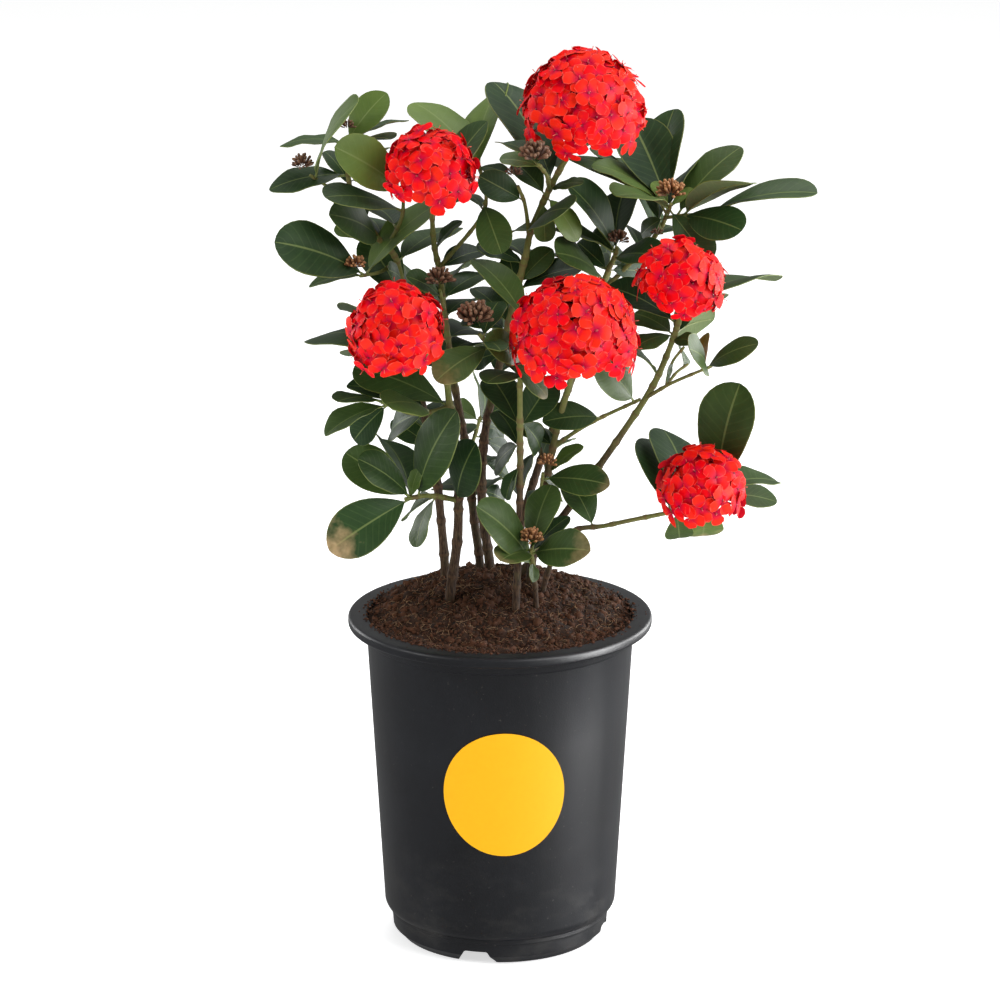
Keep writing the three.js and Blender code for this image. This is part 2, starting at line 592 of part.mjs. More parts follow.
// Leaves that come too close swing apart, and swing clear of stems, heads and the pot.
const SETTLE = {
  rounds: 60, leafGap: 9, stemGap: 8.5, footFree: 16, gain: 0.5, reach: 75,
  sway: 0.2, ahead: 0.4, drift: 3, shrink: 0.66, stretch: 1.25,
  shares: [0.35, 0.52, 0.69, 0.86, 1], asides: [-0.75, 0, 0.75], widths: [0.8, 0.95, 1, 0.7, 0],
};
const HEADROOM = 12; // between the pot's rim and the leaves
const KEEP_OFF = 5; // between leaves and heads or buds

// Which way two things swing apart: mostly nearer to the eye and farther from it.
function swayed(apart) {
  const ahead = apart.dot(FORWARD);
  const more = (ahead < 0 ? -1 : 1) * apart.length() * SETTLE.ahead;
  const aside = apart.clone().addScaledVector(FORWARD, -ahead);
  return aside.multiplyScalar(SETTLE.sway).addScaledVector(FORWARD, ahead + more).normalize();
}

function feelers(leaf) {
  const axes = leafAxes(leaf);
  const half = (LEAF.width * leaf.length) / 2;
  return SETTLE.shares.flatMap((share, k) =>
    SETTLE.asides.map((aside) => onLeaf(leaf, axes, share, aside, half * SETTLE.widths[k], 0)));
}

// The leaf swings as it is pushed, but its tip stays near its place on the drawing.
function swing(leaf, push) {
  const tip = leaf.direction.clone().multiplyScalar(leaf.length).addScaledVector(push, SETTLE.gain);
  const drift = tip.clone().sub(leaf.home);
  drift.addScaledVector(leaf.ray, -drift.dot(leaf.ray));
  const far = drift.length();
  if (far > SETTLE.drift) tip.addScaledVector(drift, SETTLE.drift / far - 1);
  const { shrink, stretch } = SETTLE;
  leaf.length = THREE.MathUtils.clamp(tip.length(), leaf.reach * shrink, leaf.reach * stretch);
  leaf.direction = tip.normalize();
}

function settle(leaves, soundings, balls) {
  for (const leaf of leaves) {
    leaf.reach = leaf.length;
    leaf.home = leaf.direction.clone().multiplyScalar(leaf.length);
    leaf.ray = leaf.foot.clone().add(leaf.home).sub(EYE).normalize();
  }
  for (let round = 0; round < SETTLE.rounds; round++) {
    const grids = leaves.map(feelers);
    const pushes = leaves.map(() => V(0, 0, 0));
    leaves.forEach((leaf, i) => {
      const middle = grids[i][4];
      for (let j = i + 1; j < leaves.length; j++) {
        if (middle.distanceTo(grids[j][4]) > SETTLE.reach) continue;
        let nearest = Infinity;
        for (const p of grids[i]) for (const q of grids[j]) nearest = Math.min(nearest, p.distanceTo(q));
        if (nearest >= SETTLE.leafGap) continue;
        const apart = swayed(middle.clone().sub(grids[j][4]));
        pushes[i].addScaledVector(apart, SETTLE.leafGap - nearest);
        pushes[j].addScaledVector(apart, nearest - SETTLE.leafGap);
      }
      for (const p of grids[i]) {
        for (const { point } of soundings) {
          const gap = p.distanceTo(point);
          if (gap < SETTLE.stemGap && point.distanceTo(leaf.foot) > SETTLE.footFree) {
            pushes[i].addScaledVector(swayed(p.clone().sub(point)), (SETTLE.stemGap - gap) / 2);
          }
        }
        for (const { centre, radius } of balls) {
          const deep = radius - p.distanceTo(centre);
          if (deep > 0) pushes[i].addScaledVector(swayed(p.clone().sub(centre)), deep / 2);
        }
        const sunk = POT.height + HEADROOM - p.z;
        if (sunk > 0) leaf.home.z += (sunk / 3) * SETTLE.gain;
      }
    });
    leaves.forEach((leaf, i) => swing(leaf, pushes[i]));
  }
}

// ---- heads of florets ----

const FLORET = {
  radius: 14.5, spacing: 28.5, rootShare: 0.5, notch: 0.45, dish: 2, droop: 1.5, layer: 1.5,
};
const CORE_SHARE = 0.74; // of the radius of a head, inside its florets

// Directions spread evenly over a dome, from its top down to an angle from its axis.
function domeDirections(count, reach) {
  const goldenTurn = Math.PI * (3 - Math.sqrt(5));
  return Array.from({ length: count }, (_, i) => {
    const height = 1 - ((i + 0.5) / count) * (1 - Math.cos(reach));
    const out = Math.sqrt(1 - height * height);
    return V(out * Math.cos(i * goldenTurn), out * Math.sin(i * goldenTurn), height);
  });
}

// A floret: a funnel with its point sunk in the head and four petals round its mouth.
function floretSolid(direction, radius, turn) {
  const side = direction.clone().cross(Math.abs(direction.z) < 0.9 ? UP : V(1, 0, 0)).normalize();
  const front = direction.clone().cross(side);
  const at = (angle, out, up) =>
    direction
      .clone()
      .multiplyScalar(radius + up)
      .addScaledVector(side, Math.cos(angle) * out)
      .addScaledVector(front, Math.sin(angle) * out);
  const mouth = Array.from({ length: 8 }, (_, i) =>
    at(turn + (i * Math.PI) / 4, FLORET.radius * (i % 2 ? FLORET.notch : 1), i % 2 ? 0 : -FLORET.droop));
  const root = Array(8).fill(direction.clone().multiplyScalar(radius * FLORET.rootShare));
  const throat = Array(8).fill(at(0, 0, -FLORET.dish));
  return solidOf(loft([root, mouth, throat]));
}

const headAxis = (right, front) =>
  UP.clone().applyAxisAngle(V(1, 0, 0), rad(front)).applyAxisAngle(V(0, 1, 0), rad(right));

function bloomSolid([x, y, depth, radius, leanRight, leanFront]) {
  const reach = rad(107);
  const area = 2 * Math.PI * radius ** 2 * (1 - Math.cos(reach));
  const count = Math.round(area / FLORET.spacing ** 2);
  const florets = domeDirections(count, reach).map((direction, i) =>
    floretSolid(direction, radius + ((i % 3) - 1) * FLORET.layer, i * 0.7));
  const core = radius * CORE_SHARE;
  const profile = [[0, -core * 0.8], [core * 0.75, -core * 0.55], [core, 0],
    [core * 0.75, core * 0.66], [0, core]];
  const lathe = new THREE.LatheGeometry(profile.map(([r, z]) => new THREE.Vector2(r, z)), 8);
  lathe.rotateX(Math.PI / 2);
  const turned = new THREE.Quaternion().setFromUnitVectors(UP, headAxis(leanRight, leanFront));
  const placed = new THREE.Matrix4().compose(place([x, y, depth]), turned, V(1, 1, 1));
  return Manifold.union([solidOf(lathe), ...florets]).transform([...placed.elements]);
}

// ---- clusters of buds ----

function budsSolid([x, y, depth, radius, count]) {
  const reach = rad(100);
  const core = new THREE.OctahedronGeometry(radius * 0.62);
  const buds = domeDirections(count, reach).map((direction, i) => {
    const length = radius * (0.95 + 0.1 * Math.cos(i * 2.4));
    const girth = Math.min(1.9, radius * 0.17);
    const root = Array(3).fill(direction.clone().multiplyScalar(radius * 0.2));
    const belly = ringRound(direction.clone().multiplyScalar(length * 0.78), direction, girth, 3);
    const tip = Array(3).fill(direction.clone().multiplyScalar(length * 1.08));
    return solidOf(loft([root, belly, tip]));
  });
  const centre = place([x, y, depth]);
  return Manifold.union([solidOf(core), ...buds]).translate(centre.toArray());
}

// ---- the whole plant in its pot ----

const group = new THREE.Group();
group.add(meshOf("pot", pot(), potPlastic));
group.add(meshOf("label", label(), labelPaper));

const plant = Object.entries(STEMS).map(([name, { routes, leaves }]) => {
  const { paths, soundings } = growWood(routes);
  return { name, paths, soundings, leaves: leaves.map((row) => leafFrom(row, soundings)) };
});
const balls = [...Object.values(BLOOMS), ...Object.values(BUDS)].map(([x, y, depth, radius]) => ({
  centre: place([x, y, depth]), radius: radius + KEEP_OFF,
}));
settle(plant.flatMap((p) => p.leaves), plant.flatMap((p) => p.soundings), balls);

const woodOf = ({ paths }, extra) => paths.map((path) => stemSolid(path, extra));
const sockets = Manifold.union(plant.flatMap((stem) => woodOf(stem, CLEARANCE)));
group.add(meshOf("potting_mix", pottingMixSolid().subtract(sockets), pottingMix));
for (const stem of plant) {
  const solid = Manifold.union([...woodOf(stem), ...stem.leaves.map(leafSolid)]);
  group.add(meshOf(stem.name, solid, leafAndStem));
}
for (const [name, row] of Object.entries(BLOOMS)) {
  group.add(meshOf(name, bloomSolid(row).subtract(sockets), petalRed));
}
for (const [name, row] of Object.entries(BUDS)) {
  group.add(meshOf(name, budsSolid(row).subtract(sockets), budBrown));
}

export default group;
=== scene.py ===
import json
import math

import bpy
import numpy as np
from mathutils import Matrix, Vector, noise

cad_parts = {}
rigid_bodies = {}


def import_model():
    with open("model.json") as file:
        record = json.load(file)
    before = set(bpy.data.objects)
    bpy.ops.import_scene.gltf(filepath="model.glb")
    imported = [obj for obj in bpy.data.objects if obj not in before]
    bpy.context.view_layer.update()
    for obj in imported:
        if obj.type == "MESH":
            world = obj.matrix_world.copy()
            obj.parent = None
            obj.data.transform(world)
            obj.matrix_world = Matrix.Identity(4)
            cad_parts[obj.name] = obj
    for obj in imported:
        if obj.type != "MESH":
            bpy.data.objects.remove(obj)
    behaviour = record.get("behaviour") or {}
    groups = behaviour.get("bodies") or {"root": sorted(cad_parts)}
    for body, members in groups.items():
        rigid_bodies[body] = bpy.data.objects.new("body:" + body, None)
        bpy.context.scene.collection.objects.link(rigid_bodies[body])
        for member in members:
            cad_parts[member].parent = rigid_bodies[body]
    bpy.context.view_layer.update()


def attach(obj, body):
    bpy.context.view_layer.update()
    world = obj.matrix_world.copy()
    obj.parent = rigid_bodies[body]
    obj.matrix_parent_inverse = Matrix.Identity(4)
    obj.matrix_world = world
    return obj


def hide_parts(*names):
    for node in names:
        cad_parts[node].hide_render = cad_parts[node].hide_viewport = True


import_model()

# ---- The studio ----
# A pale floor without an edge, a bright room and soft lamps. The camera looks down on the plant from
# far off. Its picture is also the drawing, 1000 units square, that the plant is laid out on.

MM = 0.001
DRAWING_MIDDLE = 500
DISTANCE = 3600  # millimetres from the eye to the aim, which is on the pot's axis
AIM = 350
PITCH = math.radians(16.2)
MM_PER_UNIT = 0.768
SENSOR = 36
FLOOR_HALF = 15000
TURN = 2 * math.pi

FORWARD = np.array([0, math.cos(PITCH), -math.sin(PITCH)])
UPWARD = np.array([0, math.sin(PITCH), math.cos(PITCH)])
EYE = np.array([0, 0, AIM]) - FORWARD * DISTANCE


def place(drawn):
    """Points in millimetres from places on the drawing: right, down, and millimetres behind the axis."""
    drawn = np.asarray(drawn, float)
    across = drawn[..., 0, None] - DRAWING_MIDDLE
    ray = FORWARD * (DISTANCE / MM_PER_UNIT) + across * np.array([1, 0, 0])
    ray = ray + (DRAWING_MIDDLE - drawn[..., 1, None]) * UPWARD
    return EYE + ray * ((drawn[..., 2, None] - EYE[1]) / ray[..., 1, None])


def srgb(red, green, blue):
    """A colour as a screen shows it, 0 to 255, as the linear colour that a shader takes."""
    shares = [c / 255 for c in (red, green, blue)]
    return (*[c / 12.92 if c < 0.04045 else ((c + 0.055) / 1.055) ** 2.4 for c in shares], 1.0)


def link(piece):
    bpy.context.scene.collection.objects.link(piece)
    return piece


camera = link(bpy.data.objects.new("camera", bpy.data.cameras.new("camera")))
camera.data.sensor_width = SENSOR
camera.data.lens = SENSOR * DISTANCE / MM_PER_UNIT / 1000
camera.location = Vector(EYE * MM)
camera.rotation_euler = (math.pi / 2 - PITCH, 0, 0)
bpy.context.scene.camera = camera
bpy.context.scene.view_settings.view_transform = "Standard"

LAMPS = {  # place, aim, size and watts
    "key_lamp": ((1.9, -1.9, 2.4), (0, 0, 0.4), 1.5, 43),
    "left_lamp": ((-2.2, -0.9, 1.5), (0, 0, 0.3), 0.9, 17),
    "right_lamp": ((1.8, 0.1, 0.9), (0, 0, 0.4), 1.2, 22),
    "right_sheen": ((1.75, -0.5, 0.35), (0, 0, 0.15), 1.3, 90),
    "right_edge_sheen": ((1.4, 1.1, 0.4), (0, 0, 0.15), 0.9, 22),
    "left_edge_sheen": ((-1.5, 1.2, 0.6), (0, 0, 0.25), 0.7, 11),
    "top_lamp": ((0.3, 0.9, 2.9), (0, 0, 0.4), 2.2, 48),
}
for name, (spot, aim, size, watts) in LAMPS.items():
    lamp = link(bpy.data.objects.new(name, bpy.data.lights.new(name, "AREA")))
    lamp.data.energy = watts
    lamp.data.size = size
    lamp.location = spot
    lamp.rotation_euler = (Vector(aim) - Vector(spot)).to_track_quat("-Z", "Y").to_euler()
    lamp.visible_diffuse = not name.endswith("sheen")  # a sheen shows in gloss alone

room = bpy.data.worlds.new("room")
room.use_nodes = True
room.node_tree.nodes["Background"].inputs["Color"].default_value = srgb(249, 249, 247)
room.node_tree.nodes["Background"].inputs["Strength"].default_value = 0.3
bpy.context.scene.world = room


def node(tree, kind, sockets=None, **settings):
    """A node of a material or a Geometry Nodes tree. A socket is given a value or another's output."""
    made = tree.nodes.new(kind)
    for setting, value in settings.items():
        setattr(made, setting, value)
    for socket, value in (sockets or {}).items():
        if isinstance(value, bpy.types.NodeSocket):
            tree.links.new(value, made.inputs[socket])
        else:
            made.inputs[socket].default_value = value
    return made


class Finish:
    """A material in the making. Its methods add nodes to its tree and give back their outputs."""

    def __init__(self, name, roughness, specular, **sockets):
        self.material = bpy.data.materials.new(name)
        self.material.use_nodes = True
        self.tree = self.material.node_tree
        self.shader = self.tree.nodes["Principled BSDF"].inputs
        for socket, value in {"Roughness": roughness, "Specular_IOR_Level": specular, **sockets}.items():
            self.shader[socket.replace("_", " ")].default_value = value

    def sum(self, way, first, second=0.0):
        return node(self.tree, "ShaderNodeMath", {0: first, 1: second}, operation=way).outputs[0]

    def plus(self, first, second):
        return self.sum("ADD", first, second)

    def times(self, first, second):
        return self.sum("MULTIPLY", first, second)

    def mixed(self, share, first, second):
        return node(self.tree, "ShaderNodeMix", {0: share, 6: first, 7: second}, data_type="RGBA").outputs[2]

    def between(self, value, low, high, to_low=0.0, to_high=1.0):
        """A value moved from one range to another, and held inside it."""
        sockets = {"Value": value, "From Min": low, "From Max": high, "To Min": to_low, "To Max": to_high}
        return node(self.tree, "ShaderNodeMapRange", sockets).outputs["Result"]

    def place(self, stretch=(1, 1, 1)):
        """The piece's own coordinates in metres, stretched."""
        own = node(self.tree, "ShaderNodeTexCoord").outputs["Object"]
        return node(self.tree, "ShaderNodeMapping", {"Vector": own, "Scale": stretch}).outputs[0]

    def grain(self, scale, detail=2.0, rough=0.5, stretch=(1, 1, 1)):
        sockets = {"Vector": self.place(stretch), "Scale": scale, "Detail": detail, "Roughness": rough}
        return node(self.tree, "ShaderNodeTexNoise", sockets).outputs["Fac"]

    def split(self, vector):
        return node(self.tree, "ShaderNodeSeparateXYZ", {0: vector}).outputs

    def carried(self, name):
        """What the mesh carries under a name."""
        return node(self.tree, "ShaderNodeAttribute", attribute_name=name).outputs

    def done(self, colour, relief, strength, depth):
        """The material, with a colour and with a relief bumped into it."""
        bump = node(self.tree, "ShaderNodeBump", {"Height": relief, "Strength": strength, "Distance": depth})
        self.tree.links.new(bump.outputs[0], self.shader["Normal"])
        self.tree.links.new(colour, self.shader["Base Color"])
        return self.material


def smoothed(piece, below=None):
    """A piece shaded smooth, but for its edges above an angle in degrees."""
    piece.data.shade_smooth()
    if below:
        piece.data.set_sharp_from_angle(angle=math.radians(below))
    return piece


def loose_piece(name, points, faces, smooth_below=None):
    """A mesh piece from points in millimetres, not in the scene yet."""
    mesh = bpy.data.meshes.new(name)
    mesh.from_pydata(np.asarray(points) * MM, [], [list(face) for face in faces])
    mesh.update()
    piece = bpy.data.objects.new(name, mesh)
    return smoothed(piece, smooth_below) if smooth_below else piece


def mesh_piece(*given):
    return link(loose_piece(*given))


def mark(piece, title, values, kind="FLOAT_VECTOR", domain="POINT"):
    """Lets a piece's mesh carry values under a name."""
    values = np.asarray(values, {"FLOAT_VECTOR": np.float32, "INT": np.int32, "BOOLEAN": bool}[kind])
    spread = piece.data.attributes.new(title, kind, domain).data
    spread.foreach_set("vector" if kind == "FLOAT_VECTOR" else "value", values.ravel())


def dress(piece, solid, slot, *finishes):
    """A finished piece's materials, the body it rides on and the solid it stands for. Its slot is not used.
    """
    for finish in finishes:
        piece.data.materials.append(finish)
    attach(piece, "root")
    if solid:
        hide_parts(solid)


corners = [(x * FLOOR_HALF, y * FLOOR_HALF, 0) for x, y in ((-1, -1), (1, -1), (1, 1), (-1, 1))]
floor = mesh_piece("floor", corners, [range(4)])
floor.visible_glossy = False
floor.data.materials.append(Finish(
    "floor_paint", 0.9, 0.2, Base_Color=srgb(246, 247, 248), Emission_Color=(1, 1, 1, 1),
    Emission_Strength=0.62).material)

# ---- The nursery pot ----
# A round pot moulded in black polyethylene, with a wide rolled lip over a stepped collar, a rounded
# shoulder above a recessed foot ring, and four notches and holes that let water out.

POT = {
    "height": 260, "rim": 117.5, "top": 104, "shoulder": 90.4, "shoulder_height": 29,
    "skirt": 84.5, "skirt_height": 17, "foot": 79, "wall": 2,
    "channel_floor": 12, "floor": 3, "disc": 48, "channel": 69,
}
NOTCH = {"turn": -13, "count": 4, "foot_width": 32, "top_width": 20, "height": 11, "corner": 2.5}
DRAIN = {"radius": 6, "out": 59}


def wall_radius(height):
    rise = (height - POT["shoulder_height"]) / (POT["height"] - POT["shoulder_height"])
    return POT["shoulder"] + (POT["top"] - POT["shoulder"]) * rise


def arc(middle, radius, start, end, steps=6):
    """Points of an arc round a middle, from one turn to another in degrees."""
    turns = [math.radians(start + (end - start) * i / steps) for i in range(steps + 1)]
    return [(middle[0] + radius * math.cos(t), middle[1] + radius * math.sin(t)) for t in turns]


def pot_profile():
    """Radius and height round the whole section, from the middle of the base outwards and back inside."""
    lip, wall = POT["rim"], POT["wall"]
    return [
        (0, 0), (POT["disc"], 0), (POT["disc"] + 2, POT["channel_floor"] - 3),
        (POT["channel"] - 2, POT["channel_floor"] - 3), (POT["channel"], 0.4), (POT["channel"] + 1, 0),
        *arc((POT["foot"] - 3, 3), 3, -90, -20), (POT["skirt"] - 0.6, 7),
        (POT["skirt"], POT["skirt_height"] - 1.5),
        *arc((POT["skirt"] + 1.2, POT["skirt_height"]), 1.2, 180, 90, 3),
        *arc((POT["shoulder"] - 9, POT["shoulder_height"]), 9, -62, 0, 8),
        *[(wall_radius(z), z) for z in (60, 120, 180, 241)], (wall_radius(242) + 0.3, 242.2),
        (wall_radius(243) + 1.3, 243), (wall_radius(244) + 1.7, 244.2), (wall_radius(247) + 1.8, 247),
        (wall_radius(249) + 2.6, 248.8), (lip - 8.5, 250.2), (lip - 4, 251.2),
        *arc((lip - 2.6, 254), 2.6, -70, 0, 5), *arc((lip - 3.2, 256.6), 3.2, 10, 80, 6),
        (lip - 6, 260), (lip - 11, 259.9), *arc((POT["top"] + 0.4, 257.8), 2.1, 85, 180, 6),
        *[(wall_radius(z) - wall, z) for z in (250, 140)],
        (POT["shoulder"] - wall, POT["shoulder_height"]), (POT["skirt"] - wall, POT["channel_floor"]),
        (POT["disc"] + 1, POT["channel_floor"]), (POT["disc"] - 1, POT["floor"]), (0, POT["floor"]),
    ]


def circle(radius, sides, height_at):
    """Points round the axis, at the height that a place has."""
    turns = [TURN * i / sides for i in range(sides)]
    flat = [(radius * math.cos(t), radius * math.sin(t)) for t in turns]
    return [(x, y, height_at(x, y)) for x, y in flat]


def bands(count, sides, start=0):
    """The faces between circles of points that follow one another."""
    return [(low + i, low + sides + i, low + sides + (i + 1) % sides, low + (i + 1) % sides)
            for low in range(start, start + count * sides, sides) for i in range(sides)]


def turned(name, profile, sides):
    """A lathe-turned piece, with a single point wherever its profile meets the axis."""
    points, rings, faces = [], [], []
    for radius, height in profile:
        count = sides if radius else 1
        rings.append([len(points) + i % count for i in range(sides)])
        points += circle(radius, count, lambda x, y: height)
    for low, high in zip(rings, rings[1:]):
        for i in range(sides):
            j = (i + 1) % sides
            faces.append(dict.fromkeys((low[i], low[j], high[j], high[i])))
    return mesh_piece(name, points, faces)


def notch_cutter():
    """A prism that reaches in through the foot ring, narrower above and with rounded corners."""
    corner = NOTCH["corner"]
    right = arc((NOTCH["top_width"] / 2 - corner, NOTCH["height"] - corner), corner, 15, 90, 4)
    outline = [(NOTCH["foot_width"] / 2, -1), *right]
    outline += [(-x, z) for x, z in reversed(outline)]
    count = len(outline)
    points = [(x, y, z) for y in (-POT["shoulder"] - 5, 5 - POT["channel"]) for x, z in outline]
    sides = [(i, i + count, (i + 1) % count + count, (i + 1) % count) for i in range(count)]
    return mesh_piece("notch", points, [range(count), range(2 * count - 1, count - 1, -1), *sides])


def plain_mesh(piece):
    """Gives a piece the mesh that its modifiers make, and removes them."""
    depsgraph = bpy.context.evaluated_depsgraph_get()
    depsgraph.update()
    made = bpy.data.meshes.new_from_object(piece.evaluated_get(depsgraph), depsgraph=depsgraph)
    piece.modifiers.clear()
    piece.data = made
    return piece


def pot_shell():
    shell = turned("pot_shell", pot_profile(), 192)
    for i in range(NOTCH["count"]):
        hole = turned("drain", [(0, -1), (DRAIN["radius"], -1), (DRAIN["radius"], 20), (0, 20)], 24)
        for point in hole.data.vertices:
            point.co.y -= DRAIN["out"] * MM
        for cutter in (notch_cutter(), hole):
            cutter.rotation_euler.z = math.radians(NOTCH["turn"] + 360 * i / NOTCH["count"])
            bpy.context.view_layer.update()
            cut = shell.modifiers.new("cut", "BOOLEAN")
            cut.operation = "DIFFERENCE"
            cut.solver = "EXACT"
            cut.object = cutter
            plain_mesh(shell)
            bpy.data.objects.remove(cutter)
    return smoothed(shell, 32)


def pot_plastic():
    """Black plastic with a fine mould grain, dust low down, and scuffs."""
    f = Finish("pot_plastic", 0.42, 0.5)
    streaks = f.grain(1, 3, 0.6, (60, 60, 5))
    body = f.mixed(f.between(f.grain(11, 4, 0.6), 0.35, 0.7), srgb(14, 15, 20), srgb(23, 25, 31))
    low = f.between(f.split(f.place())["Z"], 0.11, 0.015)
    patches = f.between(f.grain(24, 5, 0.65, (1, 1, 1.9)), 0.5, 0.72)
    dust = f.times(f.times(low, patches), 0.16)
    body = f.mixed(dust, body, srgb(96, 92, 84))
    body = f.mixed(f.times(f.between(f.grain(420), 0.70, 0.76), 0.22), body, srgb(110, 104, 96))
    worn = f.plus(f.times(streaks, 0.14), f.times(dust, 0.7))
    f.tree.links.new(f.plus(worn, 0.34), f.shader["Roughness"])
    return f.done(body, f.plus(f.grain(900), streaks), 0.12, 0.0006)


dress(pot_shell(), "pot", "pot", pot_plastic())

# ---- The label ----
# A round yellow paper label, stuck on the front of the wall and bent round it. Nothing is printed on it.

LABEL = {"radius": 47.5, "tall": 1.06, "height": 144.7, "across": 3.4, "off_wall": 0.35, "thickness": 0.5}
LABEL_RINGS = 16
LABEL_SIDES = 96


def label_ring(radius, lift):
    points = []
    for i in range(LABEL_SIDES):
        turn = TURN * i / LABEL_SIDES
        height = LABEL["height"] + radius * LABEL["tall"] * math.sin(turn)
        out = wall_radius(height) + LABEL["off_wall"] + lift
        along = radius * math.cos(turn) + LABEL["across"]
        angle = along / wall_radius(height) - math.pi / 2
        points.append((out * math.cos(angle), out * math.sin(angle), height))
    return points


def label_disc():
    """Rings of the disc laid on the wall, outer face first, then the edge and the face on the wall."""
    edge, thick = LABEL["radius"], LABEL["thickness"]
    radii = [edge * i / LABEL_RINGS * 0.999 for i in range(1, LABEL_RINGS + 1)]
    rings = [*[(r, thick) for r in radii], (edge, thick * 0.8), (edge, thick * 0.2)]
    rings += [(r, 0) for r in reversed(radii)]
    points = [point for ring in rings for point in label_ring(*ring)]
    last = len(points) - LABEL_SIDES
    ends = [range(LABEL_SIDES), range(last + LABEL_SIDES - 1, last - 1, -1)]
    return mesh_piece("label_disc", points, [*bands(len(rings) - 1, LABEL_SIDES), *ends], 40)


def label_paper():
    f = Finish("label_paper", 0.6, 0.2)
    ink = f.mixed(f.grain(260, 3), srgb(252, 184, 10), srgb(247, 177, 6))
    return f.done(ink, f.grain(1500), 0.08, 0.0003)


dress(label_disc(), "label", "label", label_paper())

# ---- The potting mix ----
# Dark bark and coir, heaped round the stems and level with the lip at the edge. Crumbs, chips of bark
# and curled fibres of coir lie all over it, and some crumbs on the lip.

MIX = {"edge": 257, "mound": 24, "mound_back": 24, "lumps": 1.6, "clods": 3.4, "clear": 0.35}
MIX_EDGE = wall_radius(MIX["edge"]) - POT["wall"] - MIX["clear"]
BED_RINGS = 44
BED_SIDES = 150


def bed_height(x, y):
    """The bed's own height: the mound with its lumps, clods and crumbs."""
    out = math.hypot(x, y - MIX["mound_back"]) / MIX_EDGE
    mound = MIX["mound"] * max(0, math.cos(min(out, 1) * math.pi / 2))
    lumps = math.sin(x * 0.13 + 1) * math.cos(y * 0.11) + math.sin(x * 0.31 + y * 0.27)
    clods = noise.fractal(Vector((x, y, 7)) * 0.07, 0.6, 2.1, 4)
    heap = MIX["edge"] + mound + MIX["lumps"] * lumps / 2 * min(1, 1.6 - out)
    return heap + MIX["clods"] * clods - 0.6


def mix_bed():
    points = [(0, 0, bed_height(0, 0))]
    for k in range(1, BED_RINGS + 1):
        points += circle(MIX_EDGE * k / BED_RINGS, BED_SIDES, bed_height)
    bottom = POT["channel_floor"] + MIX["clear"]
    points += circle(POT["skirt"] - POT["wall"] - 1, BED_SIDES, lambda x, y: bottom)
    middle = [(0, 1 + i, 1 + (i + 1) % BED_SIDES) for i in range(BED_SIDES)]
    last = len(points) - BED_SIDES
    base = range(last + BED_SIDES - 1, last - 1, -1)
    return mesh_piece("mix_bed", points, [*middle, *bands(BED_RINGS, BED_SIDES, 1), base], 60)


def mix_finish(name, dark, light, scale):
    """Damp bark or coir: two browns in patches, rough all over."""
    f = Finish(name, 0.95, 0.25)
    patches = f.plus(f.times(f.grain(scale, 4, 0.7), 1.3), -0.42)
    share = f.plus(patches, f.times(f.carried("tint")["Fac"], 0.5))
    return f.done(f.mixed(share, dark, light), f.grain(scale * 4, 4, 0.7), 0.6, 0.001)


damp_mix = mix_finish("damp_mix", srgb(28, 18, 14), srgb(98, 66, 48), 130)
dress(mix_bed(), "potting_mix", "potting_mix", damp_mix)


def unit(vectors):
    return vectors / np.maximum(np.linalg.norm(vectors, axis=-1, keepdims=True), 1e-9)


def tube(points, radii, sides):
    """A closed tube through points, with a flat cap at each end: its points and its faces."""
    points, radii = np.asarray(points, float), np.asarray(radii, float)
    along = unit(np.gradient(points, axis=0))
    steady = np.array([0.0, 1.0, 0.0]) if abs(along[:, 1]).max() < 0.95 else np.array([1.0, 0.0, 0.0])
    side = unit(np.cross(steady, along))
    front = np.cross(along, side)
    turns = np.arange(sides) * TURN / sides
    ring = np.cos(turns)[None, :, None] * side[:, None] + np.sin(turns)[None, :, None] * front[:, None]
    verts = (points[:, None] + ring * radii[:, None, None]).reshape(-1, 3)
    faces = [(a, d, c, b) for a, b, c, d in bands(len(points) - 1, sides)]
    last = (len(points) - 1) * sides
    return verts, [*faces, tuple(range(sides - 1, -1, -1)), tuple(range(last, last + sides))]


def crumb(rng):
    """A lump of bark: a rough block with its corners moved."""
    corners = [(x, y, z) for x in (-1, 1) for y in (-1, 1) for z in (-1, 1)]
    size = rng.uniform(0.5, 1.3, 3)
    points = [np.array(c) * size + rng.uniform(-0.35, 0.35, 3) for c in corners]
    return points, [(0, 1, 3, 2), (4, 6, 7, 5), (0, 4, 5, 1), (2, 3, 7, 6), (0, 2, 6, 4), (1, 5, 7, 3)]


def fibre(rng):
    """A strand of coir: a thin tube that wanders and curls."""
    steps = 6
    reach = rng.uniform(7, 15)
    bend = rng.uniform(-0.5, 0.5)
    heading, spot, points = rng.uniform(0, TURN), np.zeros(3), []
    for i in range(steps + 1):
        points.append(spot.copy())
        heading += bend + rng.uniform(-0.35, 0.35)
        lift = rng.uniform(-0.2, 0.26)
        spot += np.array([math.cos(heading), math.sin(heading), lift]) * reach / steps
    middle = np.mean(points, axis=0)
    return tube(np.array(points) - middle, [0.16, 0.25, 0.28, 0.28, 0.26, 0.2, 0.12], 3)


def gathered(name, samples):
    """Pieces for a Geometry Nodes tree to copy, in a collection of their own."""
    kept = bpy.data.collections.new(name)
    for sample in samples:
        kept.objects.link(sample)
    return kept


def dropped(kept):
    for sample in list(kept.objects):
        bpy.data.objects.remove(sample)
    bpy.data.collections.remove(kept)


